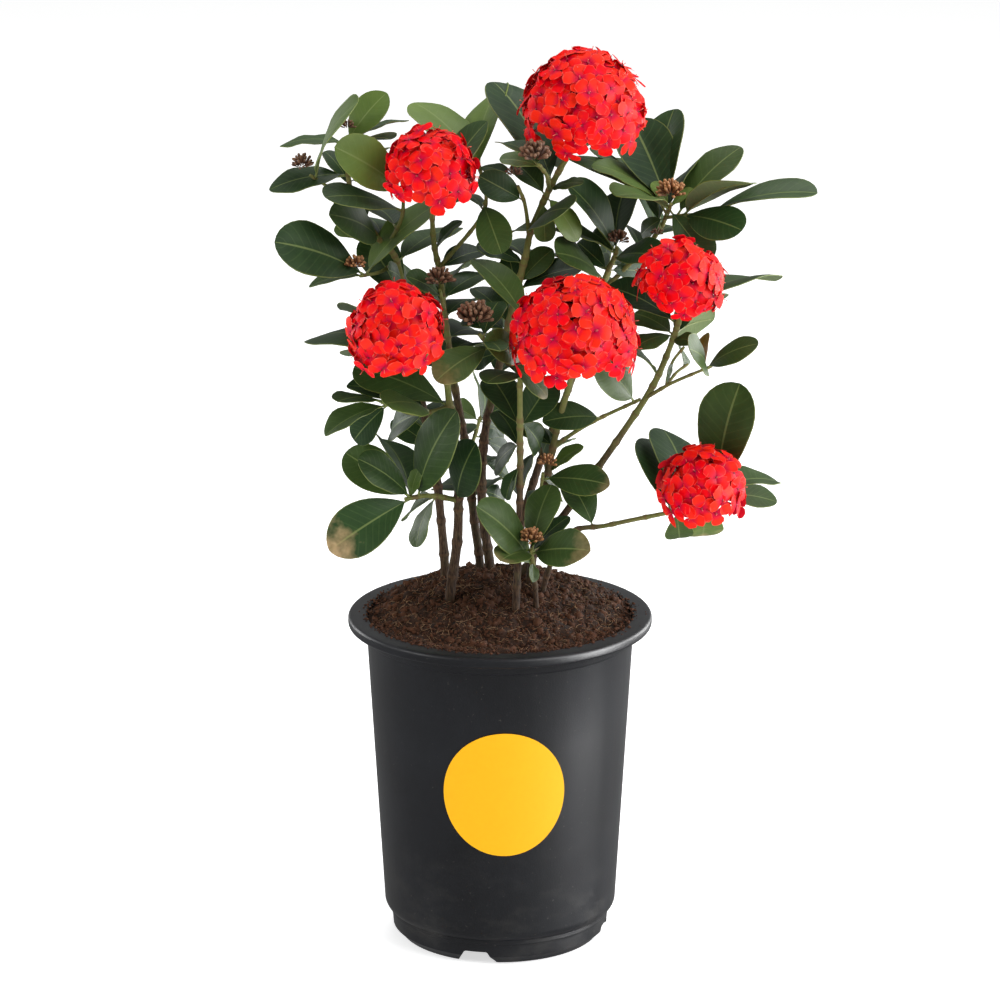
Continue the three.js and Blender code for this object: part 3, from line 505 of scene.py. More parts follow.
def copying_tree(name, finishes, strewn=False):
    """Copies of a collection's pieces, strewn over a ground or one at each of its points along the
    direction that is marked there. Each copy is turned, leant and sized at random and has its own tint."""
    tree = bpy.data.node_groups.new(name, "GeometryNodeTree")
    tree.interface.new_socket("Copies", in_out="OUTPUT", socket_type="NodeSocketGeometry")
    kinds = {"Ground": "Geometry", "Pieces": "Collection", "Per square metre": "Float", "Smallest": "Float",
             "Largest": "Float", "Lean": "Float", "Seed": "Int", **dict.fromkeys(finishes, "Material")}
    for title, kind in kinds.items():
        tree.interface.new_socket(title, in_out="INPUT", socket_type="NodeSocket" + kind)
    given = node(tree, "NodeGroupInput").outputs
    ground, seed, lean = given["Ground"], given["Seed"], given["Lean"]
    if strewn:
        spots = node(tree, "GeometryNodeDistributePointsOnFaces", {
            "Mesh": ground, "Density": given["Per square metre"], "Seed": seed}).outputs
        ground, standing = spots["Points"], spots["Rotation"]
    else:
        out = node(tree, "GeometryNodeInputNamedAttribute", {"Name": "out"}, data_type="FLOAT_VECTOR")
        out = {"Vector": out.outputs[0]}
        standing = node(tree, "FunctionNodeAlignRotationToVector", out, axis="Z").outputs[0]
    back = node(tree, "ShaderNodeMath", {0: lean, 1: -1.0}, operation="MULTIPLY").outputs[0]
    low, high = (node(tree, "ShaderNodeCombineXYZ", {0: least, 1: least, 2: spin}).outputs[0]
                 for least, spin in ((back, 0.0), (lean, 6.283)))
    turn = node(tree, "FunctionNodeRandomValue", {"Min": low, "Max": high, "Seed": seed},
                data_type="FLOAT_VECTOR").outputs["Value"]
    facing = node(tree, "FunctionNodeRotateRotation", {
        "Rotation": standing, "Rotate By": node(tree, "FunctionNodeEulerToRotation", {0: turn}).outputs[0]},
        rotation_space="LOCAL").outputs[0]
    size = node(tree, "FunctionNodeRandomValue", {2: given["Smallest"], 3: given["Largest"], "Seed": seed},
                data_type="FLOAT").outputs[1]
    pieces = node(tree, "GeometryNodeCollectionInfo", {
        "Collection": given["Pieces"], "Separate Children": True, "Reset Children": True}).outputs[0]
    copies = node(tree, "GeometryNodeInstanceOnPoints", {
        "Points": ground, "Instance": pieces, "Pick Instance": True, "Rotation": facing,
        "Scale": size}).outputs[0]
    tint = node(tree, "FunctionNodeRandomValue", {"Seed": seed}, data_type="FLOAT").outputs[1]
    tinted = node(tree, "GeometryNodeStoreNamedAttribute", {
        "Geometry": copies, "Name": "tint", "Value": tint}, data_type="FLOAT", domain="INSTANCE").outputs[0]
    made = node(tree, "GeometryNodeRealizeInstances", {"Geometry": tinted}).outputs[0]
    for part, finish in enumerate(finishes):
        sockets = {"Geometry": made, "Material": given[finish]}
        if len(finishes) > 1:
            kind = node(tree, "GeometryNodeInputNamedAttribute", {"Name": "part"}, data_type="INT").outputs[0]
            sockets["Selection"] = node(tree, "FunctionNodeCompare", {2: kind, 3: part},
                                        data_type="INT", operation="EQUAL").outputs[0]
        made = node(tree, "GeometryNodeSetMaterial", sockets).outputs[0]
    tree.links.new(made, node(tree, "NodeGroupOutput").inputs[0])
    return tree


def grown(piece, tree, pieces, smallest, largest, lean, seed, finishes, density=0.0):
    """The piece remade by a tree with its inputs set, as a plain mesh."""
    values = {"Pieces": pieces, "Smallest": smallest, "Largest": largest, "Lean": lean, "Seed": seed,
              "Per square metre": float(density), **finishes}
    modifier = piece.modifiers.new(tree.name, "NODES")
    modifier.node_group = tree
    for item in tree.interface.items_tree:
        if item.in_out == "INPUT" and item.name in values:
            modifier[item.identifier] = values[item.name]
    return plain_mesh(piece)


GROUND_RINGS = 24
GROUND_SIDES = 72
strewing = copying_tree("strewing", ["Finish"], strewn=True)
rng = np.random.default_rng(5)
crumbs = gathered("crumb", [smoothed(loose_piece(f"crumb_{i}", *crumb(rng))) for i in range(8)])
fibres = gathered("fibre", [smoothed(loose_piece(f"fibre_{i}", *fibre(rng))) for i in range(14)])
bark = {"Finish": mix_finish("bark", srgb(28, 17, 13), srgb(112, 72, 50), 300)}
coir = {"Finish": mix_finish("coir", srgb(84, 58, 42), srgb(190, 152, 116), 200)}
STREWN = {  # name: inner and outer radius, samples, sizes, lean, seed, finish, per square metre
    "mix_crumbs": (0.5, 98, crumbs, 0.35, 1.0, 1.2, 3, bark, 150000),
    "mix_chips": (0.5, 96, crumbs, 1.2, 2.4, 1.0, 4, bark, 9000),
    "mix_fibres": (0.5, 93, fibres, 0.5, 1.1, 0.45, 8, coir, 62000),
    "edge_crumbs": (96.5, 106.5, crumbs, 0.3, 0.85, 1.0, 9, bark, 90000),
    "lip_crumbs": (102.6, 114, crumbs, 0.22, 0.55, 1.0, 6, bark, 2600),
}
for name, (inner, outer, *strewn) in STREWN.items():
    height_at = bed_height if name.startswith("mix") else lambda x, y: POT["height"]
    ground = []
    for k in range(GROUND_RINGS + 1):
        ground += circle(inner + (outer - inner) * k / GROUND_RINGS, GROUND_SIDES, height_at)
    ground = mesh_piece(name, ground, bands(GROUND_RINGS, GROUND_SIDES))
    dress(grown(ground, strewing, *strewn), None, "potting_mix")
dropped(crumbs)
dropped(fibres)

# ---- The woody stems ----
# Ten canes stand in the mix, grey-brown and ringed with old leaf scars low down, green and smooth
# where they are young. Each forks into thinner branches that carry the leaves.

# routes: a main stem or a branch, as [thickness at its foot, at its end, places...] on the drawing.
# leaves: [foot x, foot y, tip x, tip y, length in mm, less than 0 where the tip points away, drawn
# width, less than 0 where the under face shows, and then its tone, from 0 for dark to 1 for yellow-green,
# which is the green of young leaves and painted backlight on leaves that light shines through, or 2 for
# bronze, and how far its tip is scorched, 0 to 1].
STEMS = {
    "left_stem": {"routes": [
        [8, 4, [450, 597, -8], [456, 550, -10], [460, 500, -12], [455, 450, -18], [449, 400, -25],
         [446, 374, -34], [436, 358, -48], [418, 351, -60], [407, 345, -68]],
        [4.4, 3, [459, 497, -12], [440, 499, -22], [420, 493, -30], [405, 499, -38]],
        [3.6, 2.6, [449, 405, -24], [430, 416, -30], [402, 410, -32], [381, 402, -32]],
    ], "leaves": [
        [404, 501, 333, 547, 74, 54, 0, 1], [403, 496, 361, 457, 52, 32, 0.1],
        [407, 494, 349, 451, -66, 46], [414, 494, 455, 409, 76, 42], [409, 499, 417, 463, 32, 14, 0.5],
        [456, 498, 478, 438, 56, 38, 0], [433, 499, 416, 542, 38, 14], [434, 498, 402, 522, -38, 13],
        [410, 499, 382, 440, -64, 34, 0], [430, 417, 384, 434, -60, 34, 0],
        [383, 402, 327, 433, 52, 22, 0.3], [382, 400, 333, 399, 46, 7], [428, 417, 379, 402, 50, 20, 0.45],
        [390, 407, 350, 449, -56, 32, 0], [446, 404, 350, 369, 80, 44], [430, 414, 352, 384, -66, 30, 0],
        [421, 351, 312, 331, -88, 36], [440, 360, 348, 350, -84, 22, 0], [440, 360, 341, 311, -96, 13],
    ]},
    "left_back_stem": {"routes": [
        [7, 3, [445, 570, 40], [441, 520, 42], [437, 480, 44], [428, 430, 48], [412, 350, 48],
         [402, 280, 42], [392, 252, 36], [372, 232, 30], [352, 200, 22], [347, 165, 16], [346, 137, 10]],
        [3.2, 2.4, [353, 200, 22], [330, 188, 14], [310, 175, 6]],
        [3.4, 2.4, [398, 264, 38], [380, 272, 24], [360, 276, 8]],
        [3.2, 2.4, [388, 247, 34], [398, 226, 26], [404, 208, 18], [403, 184, 12]],
        [3.2, 2.6, [412, 350, 48], [408, 318, 90], [404, 300, 124]],
    ], "leaves": [
        [346, 141, 283, 140, 50, 14], [314, 178, 358, 98, 66, 16, 0.6], [350, 138, 383, 99, -48, 32, 0.7],
        [346, 142, 401, 121, -52, 8], [347, 150, 393, 134, -46, 7], [340, 179, 270, 191, 57, 28],
        [350, 180, 384, 168, 40, 20, 0], [346, 188, 328, 154, -38, 18, 0],
        [403, 186, 331, 145, 70, 50, 0.85], [404, 210, 325, 194, 66, 22],
        [404, 190, 338, 173, -66, 22, 0.2], [384, 238, 326, 209, 54, 34], [374, 233, 334, 226, 38, 18, 0.6],
        [364, 270, 441, 203, -86, 30, 0.65], [362, 274, 280, 241, 72, 50], [360, 277, 309, 283, 46, 13],
        [402, 300, 366, 231, 64, 42], [392, 254, 411, 218, -46, 24, 0], [397, 262, 458, 226, -61, 28],
        [408, 284, 386, 265, 28, 15], [432, 450, 398, 425, -58, 24, 0], [430, 440, 458, 428, -58, 22, 0],
        [415, 375, 385, 348, -60, 24, 0], [414, 365, 434, 336, -50, 20, 0],
        [396, 230, 368, 206, -44, 26, 0], [405, 310, 432, 298, -56, 22, 0],
        [384, 244, 362, 212, -56, 22, 0], [348, 170, 377, 150, -50, 22, 0],
        [404, 300, 438, 282, -54, 22, 0], [404, 302, 404, 266, -62, 24, 0],
        [408, 322, 440, 332, -48, 22, 0], [408, 322, 374, 336, -48, 20, 0],
        [368, 222, 352, 190, -44, 22, 0], [430, 432, 400, 408, -60, 26, 0],
        [437, 482, 410, 464, -58, 24, 0], [428, 428, 446, 402, -56, 22, 0],
    ]},
    "left_inner_stem": {"routes": [
        [7, 3.4, [480, 566, 64], [474, 520, 62], [468, 460, 58], [457, 400, 52], [449, 350, 46],
         [443, 300, 44], [438, 262, 45], [433, 238, 38], [432, 214, 8], [431, 202, -12]],
        [3.4, 2.6, [440, 270, 36], [460, 240, 32], [484, 210, 28], [481, 180, 30], [478, 160, 32]],
        [3.4, 2.6, [444, 310, 40], [442, 300, 12], [440, 290, -8]],
        [3.2, 2.6, [468, 460, 58], [476, 432, 96], [480, 418, 124]],
    ], "leaves": [
        [478, 161, 420, 104, -66, 40, 0.9], [432, 222, 484, 113, 94, 36, 0.1],
        [478, 161, 498, 84, -71, 40, 0.85], [479, 163, 506, 173, 36, 14], [485, 203, 500, 250, 54, 38],
        [484, 208, 458, 190, -42, 14], [432, 210, 466, 196, -40, 16], [438, 266, 487, 250, -46, 24, 0],
        [441, 300, 482, 274, -50, 24, 0], [441, 298, 406, 272, 44, 18], [443, 304, 416, 288, 34, 14],
        [470, 470, 494, 455, -58, 24, 0], [454, 385, 476, 360, -60, 22, 0],
        [450, 352, 424, 320, -60, 24, 0], [443, 295, 466, 262, -58, 22, 0],
        [443, 305, 424, 292, -54, 20, 0], [480, 418, 455, 405, -46, 24, 0.5],
        [480, 418, 516, 404, -52, 24, 0], [480, 420, 480, 386, -58, 24, 0],
        [476, 436, 508, 448, -46, 20, 0], [436, 250, 458, 224, -30, 12], [445, 316, 478, 297, -54, 22, 0],
        [447, 336, 428, 362, -40, 20, 0], [449, 338, 486, 330, -60, 26, 0],
        [449, 350, 486, 344, -58, 26, 0], [472, 494, 440, 484, -52, 22, 0],
        [472, 498, 500, 478, -52, 22, 0], [466, 440, 440, 424, -54, 24, 0],
        [480, 418, 506, 430, -50, 20, 0],
    ]},
    "centre_back_stem": {"routes": [
        [7.6, 4, [490, 568, 54], [482, 505, 52], [484, 440, 48], [496, 380, 42], [512, 310, 36],
         [525, 258, 30], [531, 231, 26], [546, 196, 18], [562, 166, 8], [578, 142, 0]],
        [3.2, 2.4, [529, 236, 26], [525, 205, 12], [518, 186, 0]],
        [3.6, 2.8, [550, 188, 15], [547, 176, -8], [539, 165, -36]],
        [3.2, 2.6, [496, 380, 42], [502, 348, 84], [506, 330, 118]],
    ], "leaves": [
        [552, 186, 496, 86, -96, 56, 0], [544, 164, 500, 155, 38, 16, 0.35],
        [542, 166, 507, 141, -48, 20, 0], [524, 202, 479, 171, 50, 32, 0], [546, 196, 517, 164, -42, 28],
        [552, 190, 586, 178, 34, 11], [546, 197, 579, 248, -58, 24, 1], [529, 234, 575, 202, 56, 13],
        [558, 172, 592, 143, -62, 14], [514, 300, 507, 262, -46, 20, 0], [518, 288, 512, 254, -46, 26, 0],
        [518, 286, 546, 252, -48, 26], [516, 292, 577, 264, -60, 24, 0], [523, 262, 482, 246, -52, 20, 0],
        [488, 465, 512, 482, -55, 20, 0], [497, 375, 530, 352, -58, 22, 0],
        [507, 330, 542, 302, -58, 24, 0], [508, 322, 478, 292, -58, 24, 0],
        [524, 262, 556, 250, -52, 20, 0], [506, 330, 470, 316, -54, 24, 0],
        [506, 330, 543, 314, -54, 22, 0], [506, 332, 507, 294, -62, 26, 0],
        [502, 352, 536, 362, -46, 20, 0], [502, 352, 468, 364, -46, 22, 0], [531, 232, 512, 232, -32, 12],
        [545, 200, 548, 245, -46, 24, 0.5], [485, 490, 508, 500, -40, 20, 0],
        [487, 440, 510, 460, -54, 22, 0], [506, 332, 486, 346, -56, 26, 0],
        [506, 332, 530, 348, -56, 24, 0], [525, 258, 500, 246, -50, 24, 0],
        [520, 280, 550, 262, -60, 28, 0.4],
    ]},
    "front_stem": {"routes": [
        [5.8, 3.6, [516, 606, -32], [518, 560, -34], [520, 500, -36], [520, 440, -40], [520, 392, -44],
         [521, 366, -44], [525, 338, -34], [528, 318, -26]],
        [3.6, 3, [520, 374, -47], [503, 358, -58], [487, 344, -64], [479, 334, -66]],
    ], "leaves": [
        [529, 316, 470, 257, 66, 33, 0.35], [487, 346, 436, 375, 58, 33, 0.3, 0.35],
        [521, 364, 479, 341, 46, 30, 0.3], [520, 374, 488, 379, 42, 18],
        [506, 360, 541, 393, 42, 22, 0.4, 0.5], [520, 430, 497, 382, -50, 36, 0],
        [520, 426, 548, 382, -50, 36, 0], [520, 498, 533, 457, -42, 16, 0], [520, 446, 489, 474, -42, 16],
        [520, 462, 508, 505, -40, 14, 0], [520, 450, 500, 414, -46, 26, 0],
        [480, 336, 500, 302, -50, 26, 0], [484, 341, 505, 352, 26, 14], [520, 424, 546, 455, -44, 24],
    ]},
    "centre_stem": {"routes": [
        [6.4, 4, [529, 596, 14], [534, 550, 10], [543, 500, 4], [553, 445, 0], [562, 410, -8],
         [569, 386, -22], [573, 370, -42], [575, 360, -56]],
        [3, 2.4, [542, 505, 4], [541, 490, -6], [543, 473, -14]],
        [3.4, 2.6, [554, 443, 0], [577, 430, 2], [603, 417, 3], [641, 399, 6]],
    ], "leaves": [
        [543, 474, 605, 486, 54, 32, 0.15, 0.4], [546, 472, 576, 448, -40, 14, 0.6],
        [603, 415, 539, 419, 54, 31, 0.1], [638, 400, 588, 352, 64, 40, 0.4],
        [556, 430, 540, 472, -50, 22, 0], [543, 478, 560, 496, -40, 18, 0], [541, 492, 528, 516, -32, 14],
        [554, 446, 520, 428, -44, 20, 0],
    ]},
    "right_stem": {"routes": [
        [6.6, 4, [519, 583, 34], [545, 541, 16], [566, 512, 10], [603, 461, 0], [641, 405, -8],
         [659, 374, -12], [674, 336, -22], [680, 316, -32], [683, 302, -38]],
        [3, 2.2, [646, 397, -9], [663, 385, -17], [682, 381, -23], [712, 366, -26]],
        [2.6, 2, [664, 384, -17], [676, 373, -8], [688, 364, -2]],
        [2.6, 2, [663, 384, -17], [672, 363, -26], [684, 347, -32]],
    ], "leaves": [
        [678, 322, 607, 281, 68, 32, 0], [677, 333, 634, 310, 50, 26], [681, 338, 690, 308, -38, 20, 0],
        [682, 339, 717, 317, -48, -26, 0.4], [683, 303, 771, 277, -88, 27], [688, 338, 630, 345, 58, 16],
        [675, 340, 698, 338, 26, 14, 0.2], [657, 378, 631, 350, 36, 5], [664, 382, 668, 361, 20, 8],
        [714, 368, 686, 342, 46, 23], [704, 368, 758, 341, 50, 23, 0.2], [708, 366, 706, 337, -30, 11, 2],
        [690, 364, 681, 349, -30, 10], [680, 312, 724, 297, -48, 10],
    ]},
    "right_back_stem": {"routes": [
        [7, 3.2, [514, 558, 70], [528, 500, 68], [548, 440, 64], [572, 380, 60], [592, 320, 54],
         [603, 282, 48], [614, 258, 42], [617, 248, 36]],
        [4, 3, [600, 292, 50], [628, 262, 56], [655, 236, 50], [668, 212, 36], [671, 204, 28]],
        [2.6, 2, [640, 251, 54], [650, 246, 44], [656, 240, 36]],
        [3, 2.4, [666, 216, 38], [688, 215, 34], [716, 212, 28]],
        [3.2, 2.6, [592, 320, 54], [602, 290, 96], [610, 272, 130]],
    ], "leaves": [
        [616, 252, 553, 225, 56, 14], [617, 250, 570, 183, 66, 30, 0], [619, 249, 628, 192, -50, 36, 0],
        [616, 249, 595, 222, 30, 20, 0.1], [669, 206, 582, 156, -90, 27],
        [666, 208, 602, 164, -74, 20, 0.6], [669, 207, 607, 193, 58, 12, 0.5],
        [667, 210, 634, 131, -80, 58, 0], [661, 225, 667, 117, -92, 44, 0],
        [678, 210, 736, 150, -64, 30, 0.3], [684, 214, 752, 176, 62, -18, 0.2],
        [716, 212, 817, 193, 84, 17, 0.1], [680, 208, 737, 231, 54, 40, 0],
        [672, 208, 708, 256, 52, 38, 0.1], [664, 216, 641, 240, -40, 18], [613, 258, 663, 256, 56, 26, 0],
        [608, 270, 577, 246, -46, 28, 0], [603, 281, 551, 250, 58, 18], [670, 204, 651, 177, 26, 14, 0.8],
        [672, 204, 692, 187, 18, 9, 0.8], [670, 204, 694, 163, -52, 16, 0],
        [575, 370, 604, 345, -58, 20, 0], [580, 350, 550, 322, -58, 24, 0],
        [600, 292, 640, 300, -58, 24, 0], [664, 212, 600, 150, -84, 28, 0.2],
        [655, 236, 690, 226, -58, 20, 0], [540, 462, 566, 440, -50, 16, 0],
        [610, 272, 574, 262, -52, 20, 0], [610, 272, 648, 268, -54, 26, 0],
        [610, 274, 612, 236, -62, 24, 0], [602, 294, 640, 304, -48, 20, 0],
        [655, 236, 640, 198, -44, 24, 0], [640, 251, 628, 226, -36, 14, 0],
        [612, 264, 644, 280, -60, 28, 0],
    ]},
    "low_right_stem": {"routes": [
        [4.4, 3.2, [543, 590, -2], [552, 552, -14], [572, 532, -20], [592, 528, -24], [625, 522, -30],
         [657, 515, -36], [682, 510, -42], [695, 508, -48]],
        [3, 2.4, [688, 509, -45], [706, 500, -28], [722, 484, -16]],
    ], "leaves": [
        [731, 484, 738, 380, 80, 54, 0.25], [690, 512, 668, 440, -76, 50, 0],
        [670, 521, 655, 446, -76, 50, 0], [721, 486, 783, 480, -50, 20, 0.2],
        [714, 496, 773, 498, 54, 22, 0.2], [706, 501, 702, 544, -56, 60, 0.9, 0.6],
        [678, 512, 680, 543, -40, 34, 0.4], [592, 527, 568, 482, -50, 32],
    ]},
    "front_shoot": {"routes": [
        [4.2, 3, [536, 602, -26], [534, 578, -33], [532, 558, -41], [531, 549, -46]],
    ], "leaves": [
        [533, 568, 480, 505, 66, 36], [531, 548, 495, 558, 38, 20, 0.35, 0.5],
        [531, 549, 511, 529, 32, 14, 0.9, 0.4], [532, 549, 550, 488, -54, 30],
        [533, 549, 589, 548, 56, 37, 0.2, 0.5], [532, 552, 567, 514, -42, 16, 0],
        [533, 562, 533, 579, 18, 11],
    ]},
}
BURIED = 45  # millimetres of each stem that stand in the mix
STEM_STEP = 42  # between the bends of a stem
SOUND_STEP = 6  # between the points that leaves keep clear of
CANE_STEP = 2.2  # between the rings of a finished cane
CANE_SIDES = 10
SCAR = {"gap": 27, "half_width": 2, "swell": 0.26, "near": 3}  # of the ring that a fallen leaf leaves


def curve_points(places, shares):
    """Points of a Catmull-Rom curve through places, at shares of its knots from 0 to 1."""
    knots = np.asarray(places, float)
    knots = np.vstack([2 * knots[0] - knots[1], knots, 2 * knots[-1] - knots[-2]])
    at = np.clip(np.asarray(shares), 0, 1) * (len(places) - 1)
    first = np.minimum(at.astype(int), len(places) - 2)
    t = (at - first)[:, None]
    before, start, end, after = (knots[first + k] for k in range(4))
    leave, arrive = (end - before) / 2, (after - start) / 2
    return (start + leave * t + (3 * (end - start) - 2 * leave - arrive) * t ** 2
            + (2 * (start - end) + leave + arrive) * t ** 3)


def lengths_along(points):
    """How far along a line each of its points lies."""
    return np.concatenate([[0], np.cumsum(np.linalg.norm(np.diff(points, axis=0), axis=1))])


def soundings_of(drawn):
    """Places close together along the straight stretches of a route, on the drawing and in space."""
    points = place(drawn)
    found = []
    for start, end, low, high in zip(drawn, drawn[1:], points, points[1:]):
        shares = np.linspace(0, 1, math.ceil(np.linalg.norm(high - low) / SOUND_STEP) + 1)[:, None]
        found.append(np.hstack([start + (end - start) * shares, low + (high - low) * shares]))
    return np.vstack(found)


def nearest_of(soundings, x, y):
    return soundings[np.argmin((soundings[:, 0] - x) ** 2 + (soundings[:, 1] - y) ** 2)]


def grow_wood(routes):
    """The bends of a stem and its branches, each starting on wood that is there already."""
    soundings, paths = np.empty((0, 6)), []
    for foot_width, end_width, first, *rest in routes:
        foot = list(nearest_of(soundings, *first[:2])[:3]) if paths else first
        places = [foot, *rest]
        length = lengths_along(place(places))[-1]
        count = max(2, math.floor(length / STEM_STEP + 0.5))
        drawn = curve_points(places, np.arange(count + 1) / count)
        soundings = np.vstack([soundings, soundings_of(drawn)[:-1]])
        paths.append((foot_width, end_width, place(drawn)))
    return paths, soundings


def cane_piece(name, paths, feet):
    """A stem's wood: tubes that swell into a ring at each leaf scar and each pair of leaves."""
    points, faces, marks = [], [], []
    rng = np.random.default_rng(len(name))
    for i, (foot, end, bends) in enumerate(paths):
        start = 0 if i else BURIED
        if start:
            bends = np.vstack([bends[0] - [0, 0, start], bends])
        line = curve_points(bends, np.linspace(0, 1, int(lengths_along(bends)[-1] / CANE_STEP) + 1))
        along = lengths_along(line)
        share = np.clip((along - start) / (along[-1] - start), 0, 1)
        rings = list(np.arange(start + rng.uniform(8, 20), along[-1], SCAR["gap"]))
        near = np.linalg.norm(feet[:, None] - line[None], axis=2)
        rings += list(along[near.argmin(1)[near.min(1) < SCAR["near"]]])
        swell = np.zeros(len(along))
        for ring in rings:
            swell = np.maximum(swell, np.exp(-(((along - ring) / SCAR["half_width"]) ** 2)))
        wobble = np.array([noise.noise(Vector(p) * 0.08) for p in line])
        radius = (foot + (end - foot) * share) / 2 * (1 + SCAR["swell"] * swell + 0.09 * wobble)
        tubes, quads = tube(line, radius, CANE_SIDES)
        faces += [[index + len(points) for index in quad] for quad in quads]
        points += list(tubes)
        age = (0.42 if i else 1) * (1 - share)
        marks.append(np.repeat(np.stack([age, swell, swell * 0], 1), CANE_SIDES, axis=0))
    piece = mesh_piece(name, points, faces, 60)
    mark(piece, "cane", np.vstack(marks))
    return piece


def cane_bark():
    """Grey-brown bark that turns to smooth green skin, with corky rings at the leaf scars."""
    f = Finish("cane_bark", 0.75, 0.15)
    age, scar, _ = f.split(f.carried("cane")["Vector"])
    fissures = f.grain(900, 4, 0.65, (1, 1, 0.16))
    patches = f.grain(90, 3, 0.6)
    bark = f.mixed(f.between(fissures, 0.35, 0.68), srgb(46, 34, 27), srgb(106, 83, 64))
    bark = f.mixed(f.between(patches, 0.5, 0.75, 0, 0.5), bark, srgb(92, 88, 60))
    skin = f.mixed(f.between(patches, 0.3, 0.7), srgb(104, 112, 58), srgb(136, 132, 78))
    ageing = f.plus(age, f.times(f.plus(patches, -0.5), 0.7))
    colour = f.mixed(f.between(ageing, 0.3, 0.62), skin, bark)
    colour = f.mixed(f.times(f.between(scar, 0.5, 1), 0.6), colour, srgb(112, 84, 60))
    return f.done(colour, fissures, 0.5, 0.0006)


bark = cane_bark()
soundings = {}
for name, rows in STEMS.items():
    paths, soundings[name] = grow_wood(rows["routes"])
    feet = np.array([nearest_of(soundings[name], *leaf[:2])[3:] for leaf in rows["leaves"]])
    dress(cane_piece(name + "_wood", paths, feet), name, "foliage", bark)

# ---- The leaves ----
# Leathery leaves in pairs along the young wood, broad past the middle and blunt at the tip, folded a
# little along a pale midrib, glossy above and dull grey-green below.

LEAF = {"width": 0.57, "arch": 0.07, "thickness": 0.55}
SETTLE = {
    "rounds": 60, "leaf_gap": 9, "stem_gap": 8.5, "foot_free": 16, "gain": 0.5, "reach": 75,
    "sway": 0.2, "ahead": 0.4, "drift": 3, "shrink": 0.66, "stretch": 1.25,
    "shares": [0.35, 0.52, 0.69, 0.86, 1], "asides": [-0.75, 0, 0.75], "widths": [0.8, 0.95, 1, 0.7, 0],
}
BLOOMS = {  # on the drawing: x, y, depth, radius, lean to the right, lean to the front
    "bloom_top": [584, 112, 0, 48.5, 0, 12],
    "bloom_upper_left": [430, 174, -28, 36, -4, 14],
    "bloom_left": [398, 332, -78, 38, -14, 22],
    "bloom_centre": [575, 338, -74, 49.5, 0, 14],
    "bloom_right": [681, 284, -44, 34, 6, 16],
    "bloom_low_right": [701, 490, -58, 34, 6, 20],
}
BUDS = {  # on the drawing: x, y, depth, radius, and the number that show
    "buds_far_left": [302, 163, 2, 9.5, 9],
    "buds_upper_left": [347, 125, 7, 6.5, 7],
    "buds_left": [355, 263, 0, 9, 9],
    "buds_inner_left": [439, 278, -16, 11.5, 11],
    "buds_middle": [475, 315, -70, 15, 15],
    "buds_under_top": [535, 153, -46, 13, 13],
    "buds_back": [514, 172, -6, 7, 7],
    "buds_right": [671, 190, 18, 12, 12],
    "buds_inner_right": [618, 238, 29, 9.5, 9],
    "buds_small_right": [657, 232, 29, 5.5, 6],
    "buds_low": [547, 461, -20, 8, 8],
    "buds_front": [531, 537, -53, 10, 11],
}
KEEP_OFF = 5  # millimetres that leaves keep off heads and buds
KEEP_ABOVE = 12  # and off the lip of the pot
BLADE_ROWS = 17
BLADE_COLUMNS = 9


def leaf_from(row, soundings):
    """Foot, direction, length and turn of a leaf, from its row."""
    foot_x, foot_y, tip_x, tip_y, reach, width = row[:6]
    foot = nearest_of(soundings, foot_x, foot_y)
    flat = place([tip_x, tip_y, foot[2]]) - foot[3:]
    length = max(abs(reach), np.linalg.norm(flat) * 1.02)
    away = -math.copysign(math.sqrt(length ** 2 - flat @ flat), reach)
    direction = unit(place([tip_x, tip_y, foot[2] + away]) - foot[3:])
    return [*foot[3:], *direction, length, width * MM_PER_UNIT / LEAF["width"]]


def leaf_axes(direction, length, broad):
    """A blade's directions out of its upper face and across it."""
    face = np.arcsin(np.clip(broad / length, -1, 1))
    toward = unit(direction * (direction @ FORWARD)[..., None] - FORWARD)
    aside = np.cross(direction, toward)
    aside = np.where(aside[..., 2, None] < 0, -aside, aside)
    normal = aside * np.cos(face)[..., None] + toward * np.sin(face)[..., None]
    return normal, unit(np.cross(direction, normal))


def leaf_samples(foot, direction, length, broad):
    """Points all over each blade, for it to feel its neighbours with."""
    normal, across = leaf_axes(direction, length, broad)
    shares = np.repeat(SETTLE["shares"], 3)
    widths = np.repeat(SETTLE["widths"], 3) * np.tile(SETTLE["asides"], 5) * LEAF["width"] / 2
    arch = LEAF["arch"] * 4 * shares * (1 - shares)
    offsets = direction[:, None] * shares[:, None] + across[:, None] * widths[:, None]
    return foot[:, None] + length[:, None, None] * (offsets + normal[:, None] * arch[:, None])


def swayed(apart):
    """Which way two things swing apart: mostly nearer to the eye and farther from it."""
    ahead = apart @ FORWARD
    aside = apart - ahead[..., None] * FORWARD
    ahead = ahead + np.where(ahead < 0, -1, 1) * np.linalg.norm(apart, axis=-1) * SETTLE["ahead"]
    return unit(aside * SETTLE["sway"] + ahead[..., None] * FORWARD)


